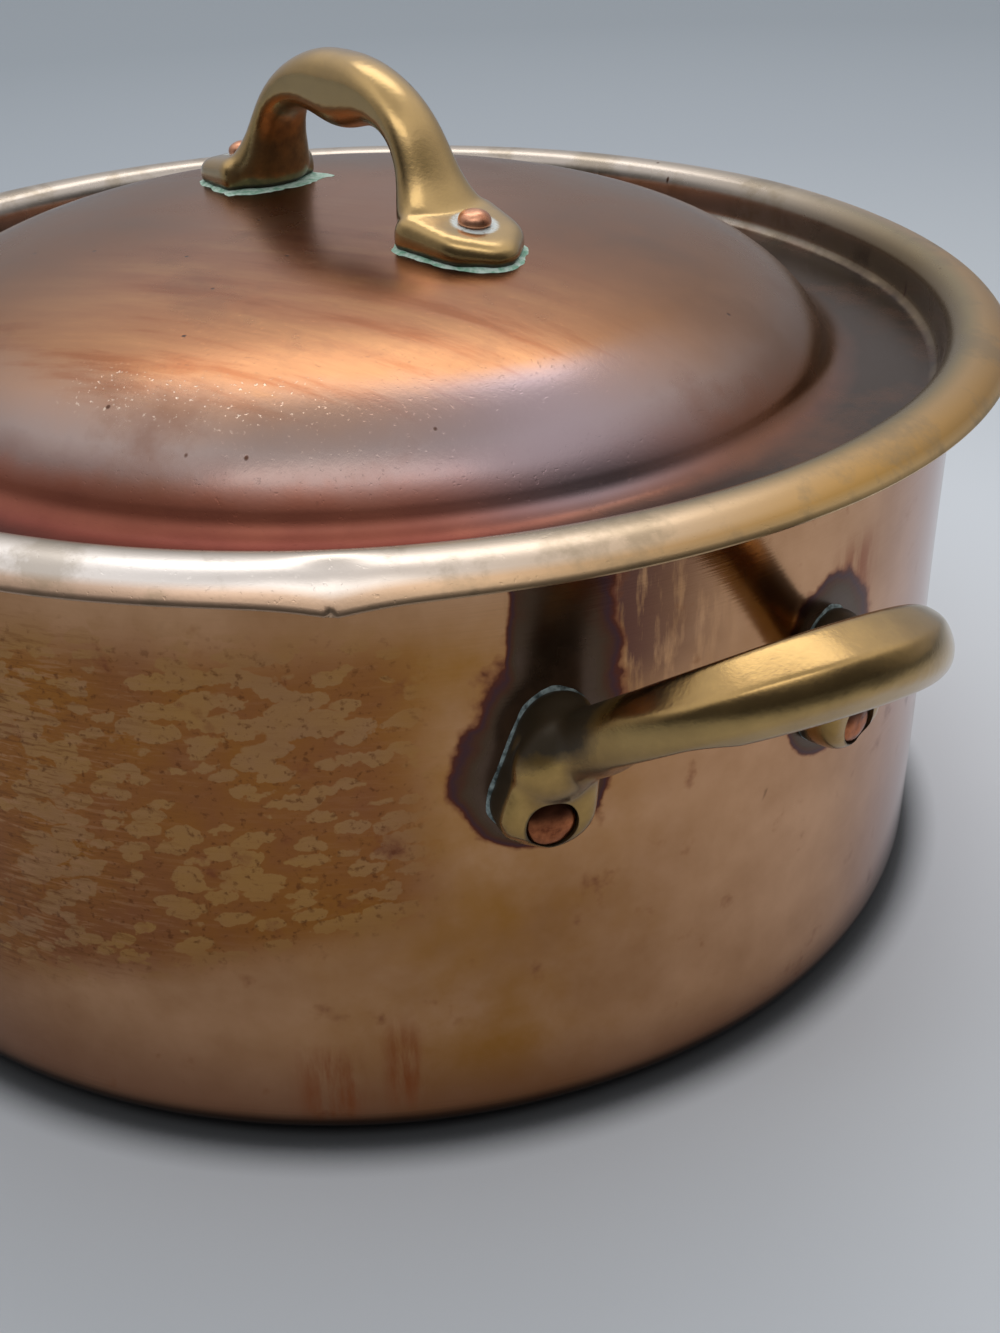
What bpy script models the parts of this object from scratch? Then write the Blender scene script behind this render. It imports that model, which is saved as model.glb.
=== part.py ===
"""A round copper stewpot with its lid: a raised copper body with a flared rim, two cast brass side handles,
and a pressed copper lid that nests in the rim and carries a cast brass bridge handle. Copper rivets hold the
brass. Metres, +Z up. The origin is the middle of the base, and the side handles stand at +X and -X."""

import math

import bmesh
import bpy
from mathutils import Matrix, Vector

# Fits
SEAT_GAP = 0.0003  # air between two pieces that touch
INSIDE_HEAD_GAP = 0.0005  # a flat rivet head stands this far off the curved wall inside
CUT_OVERRUN = 0.004  # how far a cutter runs past what it cuts
SEAT_CUT_HEIGHT = 0.012  # the seat of a rivet's head is cut this high, clear of all the brass over it
MERGE_DISTANCE = 0.00001  # points closer than this are one point

# Pot body
POT_RADIUS = 0.1200  # outside of the wall, just under the rim
POT_TAPER = 0.0012  # the wall is this much narrower just over the base corner
POT_HEIGHT = 0.1147  # top of the rim
POT_WALL = 0.0015
POT_CORNER_RADIUS = 0.0067
POT_RIM_BEND = 0.0034  # upper side of the bend that turns the wall outward
POT_LIP_BEND = 0.0084  # upper side of the lip that curls down again
POT_LIP_ANGLE = 61  # where the lip's curl ends, in degrees up from straight outward

# Lid
LID_SHEET = 0.0010
LID_FLANGE_ANGLE = 36.5  # the flange curls on past the pot's lip to this angle
LID_RECESS_DEPTH = 0.0106  # from the top of the flange down to the ledge
LID_CORNER_FILLET = 0.0022  # where the ledge turns up into the recess wall
LID_LEDGE_WIDTH = 0.0213  # from the foot of the dome to the recess wall
DOME_HEIGHT = 0.0275
DOME_FOOT_REACH = 0.0055  # how far the hollow at the foot of the dome runs out over the ledge
DOME_FULLNESS_SHARES = (3.161, 1.662)  # exponents of the dome's curve, across and up
DOME_TURNS = (0, 9, 21, 33, 44, 54, 63, 71, 78)  # degrees from the dome's top to each point of its outline

# Rivets
SHANK_RADIUS = 0.0024  # the shank, which fills its hole but for the seat gap
POT_HEAD_RADIUS = 0.0041
POT_HEAD_HEIGHT = 0.0022
LID_HEAD_RADIUS = 0.0031
LID_HEAD_HEIGHT = 0.0022
FLAT_HEAD_RADIUS = 0.0042  # the hammered head on the inside
FLAT_HEAD_HEIGHT = 0.0012
SPOT_FACE_MARGIN = 0.0007  # the seat cut for a head is this much wider than the head

# Side handles
SIDE_PAD_SPACING = 0.0594  # between the middles of the two pads
SIDE_REACH = 0.0312  # from the wall to the middle of the crossbar
SIDE_ROOT_DROP = 0.0057  # from the middle of the pad's upper end down to the middle of the arm's root
SIDE_RISE = 0.0241  # from the root up to the middle of the crossbar
SIDE_BAR_RADIUS = 0.0065
SIDE_ARM_RADIUS = 0.0053
SIDE_ROOT_RADIUS = 0.0064  # the arm swells again where it grows out of the pad
SIDE_ROOT_SWELL = 0.0140  # length of that swelling
PAD_LOW_RADIUS = 0.0079  # round lower end of the pad, where the rivet goes through
PAD_HIGH_RADIUS = 0.0062  # round upper end of the pad, where the arm grows out
PAD_LEAN = 0.0025  # the upper end lies this much nearer the middle of the handle
PAD_THICKNESS = 0.0072
PAD_HIGH_DROP = 0.0335  # from the top of the rim down to the middle of the pad's upper end
PAD_LENGTH = 0.0142  # from there down to the middle of the lower end and of its rivet
PAD_SEAT_DEPTH = 0.0014  # the rivet head sits in a hollow this deep in the pad
PAD_LOW_TURNS = (-82, -62, -40, -18, 0)  # degrees round the pad's lower end to each section of it
PAD_HIGH_TURNS = (0, 20, 42, 62, 82)  # the same round its upper end
ARM_TURNS = (0, 1.5, 4, 8, 14, 22, 32, 43, 54, 66, 78, 90)  # degrees along the arch to each section of it
ARCH_FULLNESS_SHARE = 2.35  # 2 is an ellipse seen from above, more is squarer
SIDE_TILT = math.radians(2.4)  # the handle at +X is riveted on a little askew, its +Y end lower

# Lid handle
LID_HANDLE_REACH = 0.0475  # from the middle of the handle to the tip of a foot
LID_HANDLE_SHIFT = 0.0023  # the handle is riveted on this far off the lid's middle
LID_HANDLE_HEIGHT = 0.0296  # from the top of the dome to the top of the bar
LID_HANDLE_WIDTH = 0.0230  # across a foot at its inner edge
LID_RIVET_INSET = 0.0093  # from the tip of a foot to the middle of its rivet
LID_SEAT_SHARE = 0.162  # height of a rivet head's seat over the dome's top, as a share of the handle's
LID_HANDLE_TURN = math.radians(8.7)  # the loose lid lies turned against the side handles

# Roundness
TURN_STEPS = 64  # flats round the pot and the lid
RIVET_STEPS = 12  # flats round a rivet
BEND_STEPS = 4  # flats across a bend in the sheet
SMALL_BEND_STEPS = 3  # flats across a fillet, a lip's edge or a rivet's crown
RING_POINTS = 16  # points round a cast bar
SQUARE_SHARE = 0.88  # 1 is an oval section, less is squarer

# Finishes: colour as linear red, green, blue, and roughness
COPPER = ((0.50, 0.22, 0.12), 0.30)
BRASS = ((0.46, 0.34, 0.14), 0.35)
RIVET_COPPER = ((0.62, 0.25, 0.14), 0.40)

POT_BASE_RADIUS = POT_RADIUS - POT_TAPER
RIM_MIDDLE = POT_RADIUS - POT_WALL + POT_RIM_BEND
BEND_LEVEL = POT_HEIGHT - POT_RIM_BEND
LIP_LEVEL = POT_HEIGHT - POT_LIP_BEND
LID_OFFSET = SEAT_GAP + LID_SHEET
LEDGE_LEVEL = POT_HEIGHT + LID_OFFSET - LID_RECESS_DEPTH
APEX_LEVEL = LEDGE_LEVEL + DOME_HEIGHT
RECESS_RADIUS = POT_RADIUS - POT_TAPER * LID_RECESS_DEPTH / POT_HEIGHT - POT_WALL - LID_OFFSET
DOME_RADIUS = RECESS_RADIUS - LID_LEDGE_WIDTH
PAD_HIGH_HEIGHT = POT_HEIGHT - PAD_HIGH_DROP
PAD_RIVET_HEIGHT = PAD_HIGH_HEIGHT - PAD_LENGTH
SIDE_ROOT_HEIGHT = PAD_HIGH_HEIGHT - SIDE_ROOT_DROP
PAD_SEAT_HEIGHT = PAD_THICKNESS - PAD_SEAT_DEPTH
LID_RIVET_REACH = LID_HANDLE_REACH - LID_RIVET_INSET
LID_SEAT_LEVEL = APEX_LEVEL + LID_SEAT_SHARE * LID_HANDLE_HEIGHT


def clear_scene():
    for old in list(bpy.data.objects):
        bpy.data.objects.remove(old, do_unlink=True)


def make_collection(name):
    collection = bpy.data.collections.new(name)
    bpy.context.scene.collection.children.link(collection)
    return collection


def make_material(name, finish):
    colour, roughness = finish
    material = bpy.data.materials.new(name)
    material.use_nodes = True
    shader = material.node_tree.nodes["Principled BSDF"]
    shader.inputs["Base Color"].default_value = (*colour, 1.0)
    shader.inputs["Metallic"].default_value = 1.0
    shader.inputs["Roughness"].default_value = roughness
    return material


def add_object(name, mesh, collection, material=None):
    thing = bpy.data.objects.new(name, mesh)
    collection.objects.link(thing)
    if material:
        mesh.materials.append(material)
    else:
        thing.hide_render = True
        thing.display_type = "WIRE"
    return thing


def arc(middle, radius, start, end, steps):
    """Points (radius, height) on a circle, with the angles in degrees from straight outward."""
    points = []
    for k in range(steps + 1):
        angle = math.radians(start + (end - start) * k / steps)
        points.append((middle[0] + radius * math.cos(angle), middle[1] + radius * math.sin(angle)))
    return points


def wall_radius(height):
    """Outside radius of the pot's tapered wall."""
    share = (height - POT_CORNER_RADIUS) / (BEND_LEVEL - POT_CORNER_RADIUS)
    return POT_BASE_RADIUS + (POT_RADIUS - POT_BASE_RADIUS) * share


def pot_outline():
    """The outside of the pot, from the edge of its lip down to the middle of the base."""
    lip = arc((RIM_MIDDLE, LIP_LEVEL), POT_LIP_BEND - POT_WALL, POT_LIP_ANGLE, 90, SMALL_BEND_STEPS)
    bend = arc((RIM_MIDDLE, BEND_LEVEL), POT_RIM_BEND - POT_WALL, 90, 180, BEND_STEPS)
    corner_middle = (POT_BASE_RADIUS - POT_CORNER_RADIUS, POT_CORNER_RADIUS)
    corner = arc(corner_middle, POT_CORNER_RADIUS, 0, -90, BEND_STEPS)
    return lip[:-1] + bend + corner + [(0, 0)]


def dome_point(turn):
    """A point of the dome's curve: 0 is the top, 90 degrees the foot."""
    across, upward = DOME_FULLNESS_SHARES
    reach = DOME_RADIUS * math.sin(math.radians(turn)) ** (2 / across)
    return reach, LEDGE_LEVEL + DOME_HEIGHT * math.cos(math.radians(turn)) ** (2 / upward)


def dome_level(reach):
    """Height of the dome's upper side at this distance from the axis."""
    across, upward = DOME_FULLNESS_SHARES
    return LEDGE_LEVEL + DOME_HEIGHT * (1 - (reach / DOME_RADIUS) ** across) ** (1 / upward)


def dome_outline():
    """The dome from its top to where the hollow at its foot begins."""
    return [(0, APEX_LEVEL)] + [dome_point(turn) for turn in DOME_TURNS[1:]]


def hollow(start, corner, end, steps):
    """A smooth bend from start to end that leaves and arrives along the lines through corner."""
    points = []
    for k in range(1, steps + 1):
        s = k / steps
        first, second, third = (1 - s) ** 2, 2 * s * (1 - s), s**2
        points.append(tuple(first * a + second * b + third * c for a, b, c in zip(start, corner, end)))
    return points


def lid_outline():
    """The upper side of the lid, from the top of the dome to the edge of the flange."""
    dome = dome_outline()
    foot_end = (DOME_RADIUS + DOME_FOOT_REACH, LEDGE_LEVEL)
    foot = hollow(dome[-1], (DOME_RADIUS, LEDGE_LEVEL), foot_end, SMALL_BEND_STEPS)
    fillet_level = LEDGE_LEVEL + LID_CORNER_FILLET
    fillet_middle = (RECESS_RADIUS - LID_CORNER_FILLET, fillet_level)
    corner = arc(fillet_middle, LID_CORNER_FILLET, -90, 0, SMALL_BEND_STEPS)
    bend = arc((RIM_MIDDLE, BEND_LEVEL), POT_RIM_BEND + LID_OFFSET, 180, 90, BEND_STEPS)
    flange = arc((RIM_MIDDLE, LIP_LEVEL), POT_LIP_BEND + LID_OFFSET, 90, LID_FLANGE_ANGLE, BEND_STEPS)
    return dome + foot + corner + bend + flange[1:]


def turned(name, outline, steps, collection, material=None):
    """A profile in the XZ plane, turned about Z by a Screw modifier."""
    mesh = bpy.data.meshes.new(name)
    points = [(reach, 0, height) for reach, height in outline]
    mesh.from_pydata(points, [(k, k + 1) for k in range(len(points) - 1)], [])
    thing = add_object(name, mesh, collection, material)
    screw = thing.modifiers.new("turn", "SCREW")
    screw.axis = "Z"
    screw.steps = steps
    screw.render_steps = steps
    screw.use_merge_vertices = True
    screw.merge_threshold = MERGE_DISTANCE
    screw.use_smooth_shade = True
    return thing


def thicken(thing, thickness):
    """Gives a turned skin its sheet thickness, on the side away from its faces."""
    sheet = thing.modifiers.new("sheet", "SOLIDIFY")
    sheet.thickness = thickness
    sheet.offset = -1
    sheet.use_even_offset = True


def cut(thing, cutter):
    boolean = thing.modifiers.new("cut " + cutter.name, "BOOLEAN")
    boolean.operation = "DIFFERENCE"
    boolean.object = cutter


def join(thing, other):
    boolean = thing.modifiers.new("join " + other.name, "BOOLEAN")
    boolean.operation = "UNION"
    boolean.object = other


def oval_ring(middle, across, upward):
    """Points round a soft-cornered oval, whose half axes are the two vectors given."""
    ring = []
    for k in range(RING_POINTS):
        angle = 2 * math.pi * k / RING_POINTS
        c, s = math.cos(angle), math.sin(angle)
        along = math.copysign(abs(c) ** SQUARE_SHARE, c)
        over = math.copysign(abs(s) ** SQUARE_SHARE, s)
        ring.append(middle + across * along + upward * over)
    return ring


def loft(name, rings, collection, material=None, open_end=False):
    """Skins the rings in order. The first is capped, and so is the last unless it meets a mirror plane."""
    form = bmesh.new()
    rows = [[form.verts.new(point) for point in ring] for ring in rings]
    for row, after in zip(rows, rows[1:]):
        for k in range(RING_POINTS):
            n = (k + 1) % RING_POINTS
            form.faces.new((row[k], row[n], after[n], after[k]))
    form.faces.new(rows[0][::-1])
    if not open_end:
        form.faces.new(rows[-1])
    form.normal_update()
    if form.calc_volume(signed=True) < 0:
        bmesh.ops.reverse_faces(form, faces=form.faces)
    mesh = bpy.data.meshes.new(name)
    form.to_mesh(mesh)
    form.free()
    mesh.shade_smooth()
    return add_object(name, mesh, collection, material)


def mirror(thing, axis):
    both = thing.modifiers.new("both halves", "MIRROR")
    both.use_axis = (axis == "X", axis == "Y", False)
    both.merge_threshold = MERGE_DISTANCE


def cylinder(form, radius, low, high, place):
    """Adds a round bar from low to high along the Z axis of the place given."""
    bmesh.ops.create_cone(
        form,
        cap_ends=True,
        segments=RIVET_STEPS,
        radius1=radius,
        radius2=radius,
        depth=high - low,
        matrix=place @ Matrix.Translation((0, 0, (high + low) / 2)),
    )


def cylinder_cutter(name, places, radius, low, high, collection):
    form = bmesh.new()
    for place in places:
        cylinder(form, radius, low, high, place)
    mesh = bpy.data.meshes.new(name)
    form.to_mesh(mesh)
    form.free()
    return add_object(name, mesh, collection)


def shank_holes(thing, places, depth, cutters):
    """Cuts a hole for each rivet's shank, from its seat in through the sheet."""
    radius = SHANK_RADIUS + SEAT_GAP
    name = thing.name + " shank holes"
    cut(thing, cylinder_cutter(name, places, radius, -depth - CUT_OVERRUN, CUT_OVERRUN, cutters))


def head_seats(thing, places, head_radius, cutters):
    """Cuts a flat seat in the brass for each rivet's head."""
    radius = head_radius + SPOT_FACE_MARGIN
    name = thing.name + " head seats"
    cut(thing, cylinder_cutter(name, places, radius, 0, SEAT_CUT_HEIGHT, cutters))


def make_rivet(name, place, grip, head, collection, material):
    """A rivet whose domed head sits on its place and whose flat head is a grip further in."""
    head_radius, head_height = head
    curve = (head_radius**2 + head_height**2) / (2 * head_height)
    half_angle = math.degrees(math.asin(head_radius / curve))
    crown = arc((0, SEAT_GAP + head_height - curve), curve, 90, 90 - half_angle, SMALL_BEND_STEPS)
    flat_top = -grip
    flat_bottom = flat_top - FLAT_HEAD_HEIGHT
    tail = [
        (SHANK_RADIUS, SEAT_GAP),
        (SHANK_RADIUS, flat_top),
        (FLAT_HEAD_RADIUS, flat_top),
        (FLAT_HEAD_RADIUS - FLAT_HEAD_HEIGHT / 2, flat_bottom),
        (0, flat_bottom),
    ]
    outline = [(0, crown[0][1])] + crown[1:] + tail
    rivet = turned(name, outline, RIVET_STEPS, collection, material)
    rivet.matrix_world = place
    return rivet


def facing(point, normal):
    """A place at this point whose Z axis runs along the normal."""
    turn = Vector(normal).to_track_quat("Z", "Y").to_matrix().to_4x4()
    return Matrix.Translation(point) @ turn


def pad_turn():
    """Angle about the axis from the middle of a side handle to the middle of its pad."""
    return math.asin(SIDE_PAD_SPACING / 2 / wall_radius(SIDE_ROOT_HEIGHT))


def pad_frame():
    """Outward and inward-to-the-handle directions at the pad on the +Y side of the +X handle."""
    turn = pad_turn()
    return Vector((math.cos(turn), math.sin(turn), 0)), Vector((math.sin(turn), -math.cos(turn), 0))


def pad_place(height, lean, off_wall):
    outward, inward = pad_frame()
    reach = wall_radius(height) + off_wall
    return outward * reach + inward * lean + Vector((0, 0, height))


def pad_rings():
    """A leaning egg-shaped pad, thickest along its middle, half of it sunk in the wall until it is cut."""
    outward, inward = pad_frame()
    ends = (
        (PAD_LOW_TURNS, PAD_RIVET_HEIGHT, 0, PAD_LOW_RADIUS),
        (PAD_HIGH_TURNS, PAD_HIGH_HEIGHT, PAD_LEAN, PAD_HIGH_RADIUS),
    )
    rings = []
    for turns, height, lean, radius in ends:
        for turn in turns:
            share = math.cos(math.radians(turn))
            middle = pad_place(height + radius * math.sin(math.radians(turn)), lean, 0)
            thickness = PAD_THICKNESS * math.sqrt(share)
            rings.append(oval_ring(middle, inward * radius * share, outward * thickness))
    return rings


def arm_middle(turn):
    """The middle of the bar: 0 degrees at one pad, 90 halfway along the crossbar, 180 at the other pad."""
    exponent = 2 / ARCH_FULLNESS_SHARE
    start = pad_place(SIDE_ROOT_HEIGHT, PAD_LEAN, 0)
    crossbar = wall_radius(SIDE_ROOT_HEIGHT) + SIDE_REACH
    out = math.sin(math.radians(turn)) ** exponent
    aside = math.cos(math.radians(turn))
    aside = math.copysign(abs(aside) ** exponent, aside)
    return Vector((start.x + (crossbar - start.x) * out, start.y * aside, start.z + SIDE_RISE * out))


def bar_radius(turn, distance):
    """The bar swells at its root, is slimmest in the arm and fullest in the crossbar."""
    at_root = (SIDE_ROOT_RADIUS - SIDE_ARM_RADIUS) * max(0.0, 1 - distance / SIDE_ROOT_SWELL) ** 2
    at_crossbar = (SIDE_BAR_RADIUS - SIDE_ARM_RADIUS) * math.sin(math.radians(turn)) ** 2
    return SIDE_ARM_RADIUS + at_crossbar + at_root


def bar_rings():
    """Sections of half the bar, from inside the pad to the middle of the crossbar."""
    middles = [arm_middle(turn) for turn in ARM_TURNS]
    middles.append(arm_middle(180 - ARM_TURNS[-2]))
    lean = Vector((-SIDE_RISE, 0, SIDE_REACH)).normalized()
    rings = []
    distance = 0.0
    for k, turn in enumerate(ARM_TURNS):
        if k:
            distance += (middles[k] - middles[k - 1]).length
        along = (middles[k + 1] - middles[max(0, k - 1)]).normalized()
        over = (lean - along * lean.dot(along)).normalized()
        radius = bar_radius(turn, distance)
        rings.append(oval_ring(middles[k], along.cross(over) * radius, over * radius))
    return rings


def wall_cutter(collection):
    """The solid that the wall's outside bounds, a seat gap larger, to shape the backs of the pads."""
    low, high = POT_CORNER_RADIUS, BEND_LEVEL
    slope = [(wall_radius(height) + SEAT_GAP, height) for height in (high, low)]
    outline = [(0, high)] + slope + [(0, low)]
    return turned("wall_cutter", outline, TURN_STEPS, collection)


def side_rivet_places():
    """Seats of the two rivets of an untilted +X handle, facing straight off the wall."""
    outward, inward = pad_frame()
    back = facing(pad_place(PAD_RIVET_HEIGHT, 0, PAD_SEAT_HEIGHT), outward)
    flip = Matrix.Diagonal((1, -1, 1, 1))
    return [back, facing(flip @ back.translation, flip @ outward)]


def make_side_handle(name, turn, tilt, collection, cutters, material, wall):
    """A cast handle, tilted and then turned to its side of the pot. Gives the places of its rivets."""
    handle = loft(name, bar_rings(), collection, material, open_end=True)
    mirror(handle, "Y")
    pad = loft(name + " pad", pad_rings(), cutters)
    mirror(pad, "Y")
    middle = Matrix.Translation((0, 0, PAD_HIGH_HEIGHT))
    spin = Matrix.Rotation(turn, 4, "Z") @ middle @ Matrix.Rotation(-tilt, 4, "X") @ middle.inverted()
    handle.matrix_world = spin
    pad.matrix_world = spin
    places = [spin @ place for place in side_rivet_places()]
    join(handle, pad)
    cut(handle, wall)
    head_seats(handle, places, POT_HEAD_RADIUS, cutters)
    shank_holes(handle, places, PAD_SEAT_HEIGHT, cutters)
    return places


# Half of the bridge handle as sections from the tip of a foot to the middle of the bar. Each row gives, as
# shares of the reach, the height and the width: under side (out, up), upper side (out, up) and half width.
BRIDGE_SHARES = (
    (0.985, -0.20, 0.985, 0.000, 0.09),
    (0.965, -0.20, 0.962, 0.070, 0.21),
    (0.910, -0.20, 0.910, 0.115, 0.32),
    (0.830, -0.20, 0.835, 0.156, 0.40),
    (0.750, -0.20, 0.760, 0.175, 0.45),
    (0.670, -0.20, 0.700, 0.195, 0.475),
    (0.590, -0.20, 0.660, 0.228, 0.475),
    (0.510, -0.18, 0.628, 0.285, 0.43),
    (0.475, -0.02, 0.595, 0.365, 0.35),
    (0.470, 0.17, 0.562, 0.470, 0.29),
    (0.470, 0.34, 0.522, 0.600, 0.265),
    (0.430, 0.49, 0.455, 0.750, 0.245),
    (0.345, 0.585, 0.350, 0.875, 0.235),
    (0.235, 0.61, 0.230, 0.955, 0.230),
    (0.145, 0.575, 0.145, 0.985, 0.230),
    (0.080, 0.53, 0.080, 0.997, 0.230),
    (0.000, 0.51, 0.000, 1.000, 0.230),
)


def bridge_rings():
    rings = []
    for under_out, under_up, upper_out, upper_up, half_width in BRIDGE_SHARES:
        under = Vector((under_out * LID_HANDLE_REACH, 0, APEX_LEVEL + under_up * LID_HANDLE_HEIGHT))
        upper = Vector((upper_out * LID_HANDLE_REACH, 0, APEX_LEVEL + upper_up * LID_HANDLE_HEIGHT))
        aside = Vector((0, half_width * LID_HANDLE_WIDTH, 0))
        rings.append(oval_ring((under + upper) / 2, aside, (upper - under) / 2))
    return rings


def dome_cutter(collection):
    """What lies under the dome, a seat gap higher, to shape the undersides of the feet."""
    outline = [(reach, height + SEAT_GAP) for reach, height in dome_outline()]
    bottom = LEDGE_LEVEL - CUT_OVERRUN
    return turned("dome_cutter", outline + [(outline[-1][0], bottom), (0, bottom)], TURN_STEPS, collection)


def lid_rivets():
    """The seat of each lid rivet, facing straight off the dome, and its grip through foot and sheet."""
    rivets = []
    for side in (1, -1):
        reach = LID_HANDLE_SHIFT + side * LID_RIVET_REACH
        rise = dome_level(abs(reach + SHANK_RADIUS)) - dome_level(abs(reach - SHANK_RADIUS))
        normal = Vector((-rise, 0, 2 * SHANK_RADIUS)).normalized()
        seat = Vector((reach, 0, LID_SEAT_LEVEL))
        off_dome = (seat.z - dome_level(abs(reach))) * normal.z
        place = Matrix.Rotation(LID_HANDLE_TURN, 4, "Z") @ facing(seat, normal)
        rivets.append((place, off_dome + LID_SHEET + INSIDE_HEAD_GAP))
    return rivets


def make_lid_handle(places, depth, collection, cutters, material):
    handle = loft("lid_handle", bridge_rings(), collection, material, open_end=True)
    mirror(handle, "X")
    spin = Matrix.Rotation(LID_HANDLE_TURN, 4, "Z")
    handle.matrix_world = spin @ Matrix.Translation((LID_HANDLE_SHIFT, 0, 0))
    cut(handle, dome_cutter(cutters))
    head_seats(handle, places, LID_HEAD_RADIUS, cutters)
    shank_holes(handle, places, depth, cutters)


def main():
    clear_scene()
    parts = make_collection("copper_stewpot")
    cutters = make_collection("cutters")
    copper = make_material("tarnished_copper", COPPER)
    brass = make_material("cast_brass", BRASS)
    rivet_copper = make_material("rivet_copper", RIVET_COPPER)

    pot = turned("pot_body", pot_outline(), TURN_STEPS, parts, copper)
    thicken(pot, POT_WALL)
    lid = turned("lid_shell", lid_outline(), TURN_STEPS, parts, copper)
    thicken(lid, LID_SHEET)

    wall = wall_cutter(cutters)
    pot_grip = PAD_SEAT_HEIGHT + POT_WALL + INSIDE_HEAD_GAP
    pot_head = (POT_HEAD_RADIUS, POT_HEAD_HEIGHT)
    pot_places = []
    sides = (("right", 0, SIDE_TILT, ("back", "front")), ("left", math.pi, 0, ("front", "back")))
    for side, turn, tilt, ends in sides:
        places = make_side_handle("side_handle_" + side, turn, tilt, parts, cutters, brass, wall)
        for end, place in zip(ends, places):
            make_rivet(f"rivet_{side}_{end}", place, pot_grip, pot_head, parts, rivet_copper)
        pot_places += places
    shank_holes(pot, pot_places, pot_grip, cutters)

    rivets = lid_rivets()
    lid_head = (LID_HEAD_RADIUS, LID_HEAD_HEIGHT)
    lid_places = [place for place, grip in rivets]
    deepest = max(grip for place, grip in rivets)
    make_lid_handle(lid_places, deepest, parts, cutters, brass)
    shank_holes(lid, lid_places, deepest, cutters)
    for end, (place, grip) in zip(("right", "left"), rivets):
        make_rivet("rivet_lid_" + end, place, grip, lid_head, parts, rivet_copper)


main()
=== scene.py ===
# %% [markdown]
# # An old copper stewpot
# The pot is raised from copper sheet, lined with tin, and carries cast brass handles on copper rivets. The
# CAD model already holds its sizes and its one motion, the lid that lifts straight off. This script gives it
# skin: finer metal, patina, verdigris, light and a camera. Every piece made here rides on a CAD body.

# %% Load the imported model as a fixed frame
import math

import bmesh
import bpy
import numpy as np
from mathutils import Matrix, Vector, geometry, kdtree, noise


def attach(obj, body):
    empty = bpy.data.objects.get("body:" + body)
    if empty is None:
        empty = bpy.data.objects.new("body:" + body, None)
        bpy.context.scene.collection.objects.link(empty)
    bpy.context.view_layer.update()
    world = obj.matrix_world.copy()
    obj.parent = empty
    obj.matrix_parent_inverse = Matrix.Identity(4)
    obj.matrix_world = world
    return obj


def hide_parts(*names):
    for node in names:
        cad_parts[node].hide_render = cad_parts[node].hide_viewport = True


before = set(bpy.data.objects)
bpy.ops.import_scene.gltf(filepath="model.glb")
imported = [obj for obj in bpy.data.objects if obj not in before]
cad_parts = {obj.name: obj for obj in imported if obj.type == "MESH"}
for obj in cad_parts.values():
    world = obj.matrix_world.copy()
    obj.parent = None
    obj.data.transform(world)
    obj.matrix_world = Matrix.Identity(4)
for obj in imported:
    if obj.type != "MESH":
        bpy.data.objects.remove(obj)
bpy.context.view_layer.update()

# %% [markdown]
# ## The camera
# The rim, the ledge and the base are circles in the photograph's perspective, so the camera's height, distance
# and lens follow from the ellipses that they make. The three arrows below are the camera's own right, up and
# backward directions in the pot's frame, a slight roll included.

# %% Camera
scene = bpy.context.scene


def in_scene(name, data):
    """A new object that shows the data, linked into the scene."""
    made = bpy.data.objects.new(name, data)
    scene.collection.objects.link(made)
    return made


camera = in_scene("camera", bpy.data.cameras.new("camera"))
camera.data.sensor_fit = "VERTICAL"
camera.data.sensor_height = 36.0
camera.data.lens = 46.98
camera.data.clip_start = 0.01
right = Vector((0.52542, 0.85059, -0.02077))
up = Vector((-0.41134, 0.27531, 0.86891))
turn = Matrix((right, up, right.cross(up))).transposed().to_4x4()
camera.matrix_world = Matrix.Translation((0.30843, -0.15243, 0.22265)) @ turn
scene.camera = camera
scene.view_settings.view_transform = "Standard"
print("camera", [round(v, 3) for v in camera.location], "lens", camera.data.lens, "mm")

# %% [markdown]
# ## Node materials
# Every finish here is a small tree of shader nodes. Colours are written as sRGB hex values, the way a paint
# chart gives them, and one function turns them to the linear values that the renderer works in. Another adds
# a node: its kind, what goes into its sockets, and its settings. The rest build on it and find the tree from
# the socket that they are given. Sizes are in millimetres, as scratches, pits and stains are measured.

# %% Colour and node helpers
def linear(hex_colour):
    """An sRGB hex colour as linear red, green, blue and alpha."""
    parts = [int(hex_colour[k:k + 2], 16) / 255 for k in (1, 3, 5)]
    return tuple(p / 12.92 if p <= 0.04045 else ((p + 0.055) / 1.055) ** 2.4 for p in parts) + (1.0,)


def node(tree, kind, inputs, out=0, **settings):
    """Adds a node and gives back one of its outputs. A socket's input is a value or another node's output."""
    made = tree.nodes.new("ShaderNode" + kind)
    for name, value in settings.items():
        setattr(made, name, value)
    for key, value in inputs.items():
        if isinstance(value, bpy.types.NodeSocket):
            tree.links.new(value, made.inputs[key])
        else:
            made.inputs[key].default_value = value
    return made.outputs[out] if made.outputs else made


def new_material(name):
    """An empty node material and its tree."""
    material = bpy.data.materials.new(name)
    material.use_nodes = True
    material.node_tree.nodes.clear()
    return material, material.node_tree


def in_millimetres(tree, stretch=(1, 1, 1)):
    """The piece's own coordinates in millimetres, stretched if wanted. A noise scale then reads as 1 / size."""
    coordinates = node(tree, "TexCoord", {}, out="Object")
    return node(tree, "Mapping", {"Vector": coordinates, "Scale": [1000 * s for s in stretch]})


def mix(share, first, second):
    """Blends two colours. A share of 1 is all second."""
    colours = {key: linear(c) if isinstance(c, str) else c for key, c in ((6, first), (7, second))}
    return node(share.id_data, "Mix", {0: share, **colours}, out=2, data_type="RGBA")


def ramp(value, stops):
    """A colour ramp from (place, colour) stops. A colour is a hex value or a grey level."""
    made = node(value.id_data, "ValToRGB", {"Fac": value})
    elements = made.node.color_ramp.elements
    while len(elements) < len(stops):
        elements.new(0.5)
    for element, (place, colour) in zip(elements, stops):
        element.position = place
        element.color = linear(colour) if isinstance(colour, str) else (colour, colour, colour * 1.03, 1)
    return made


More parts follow.
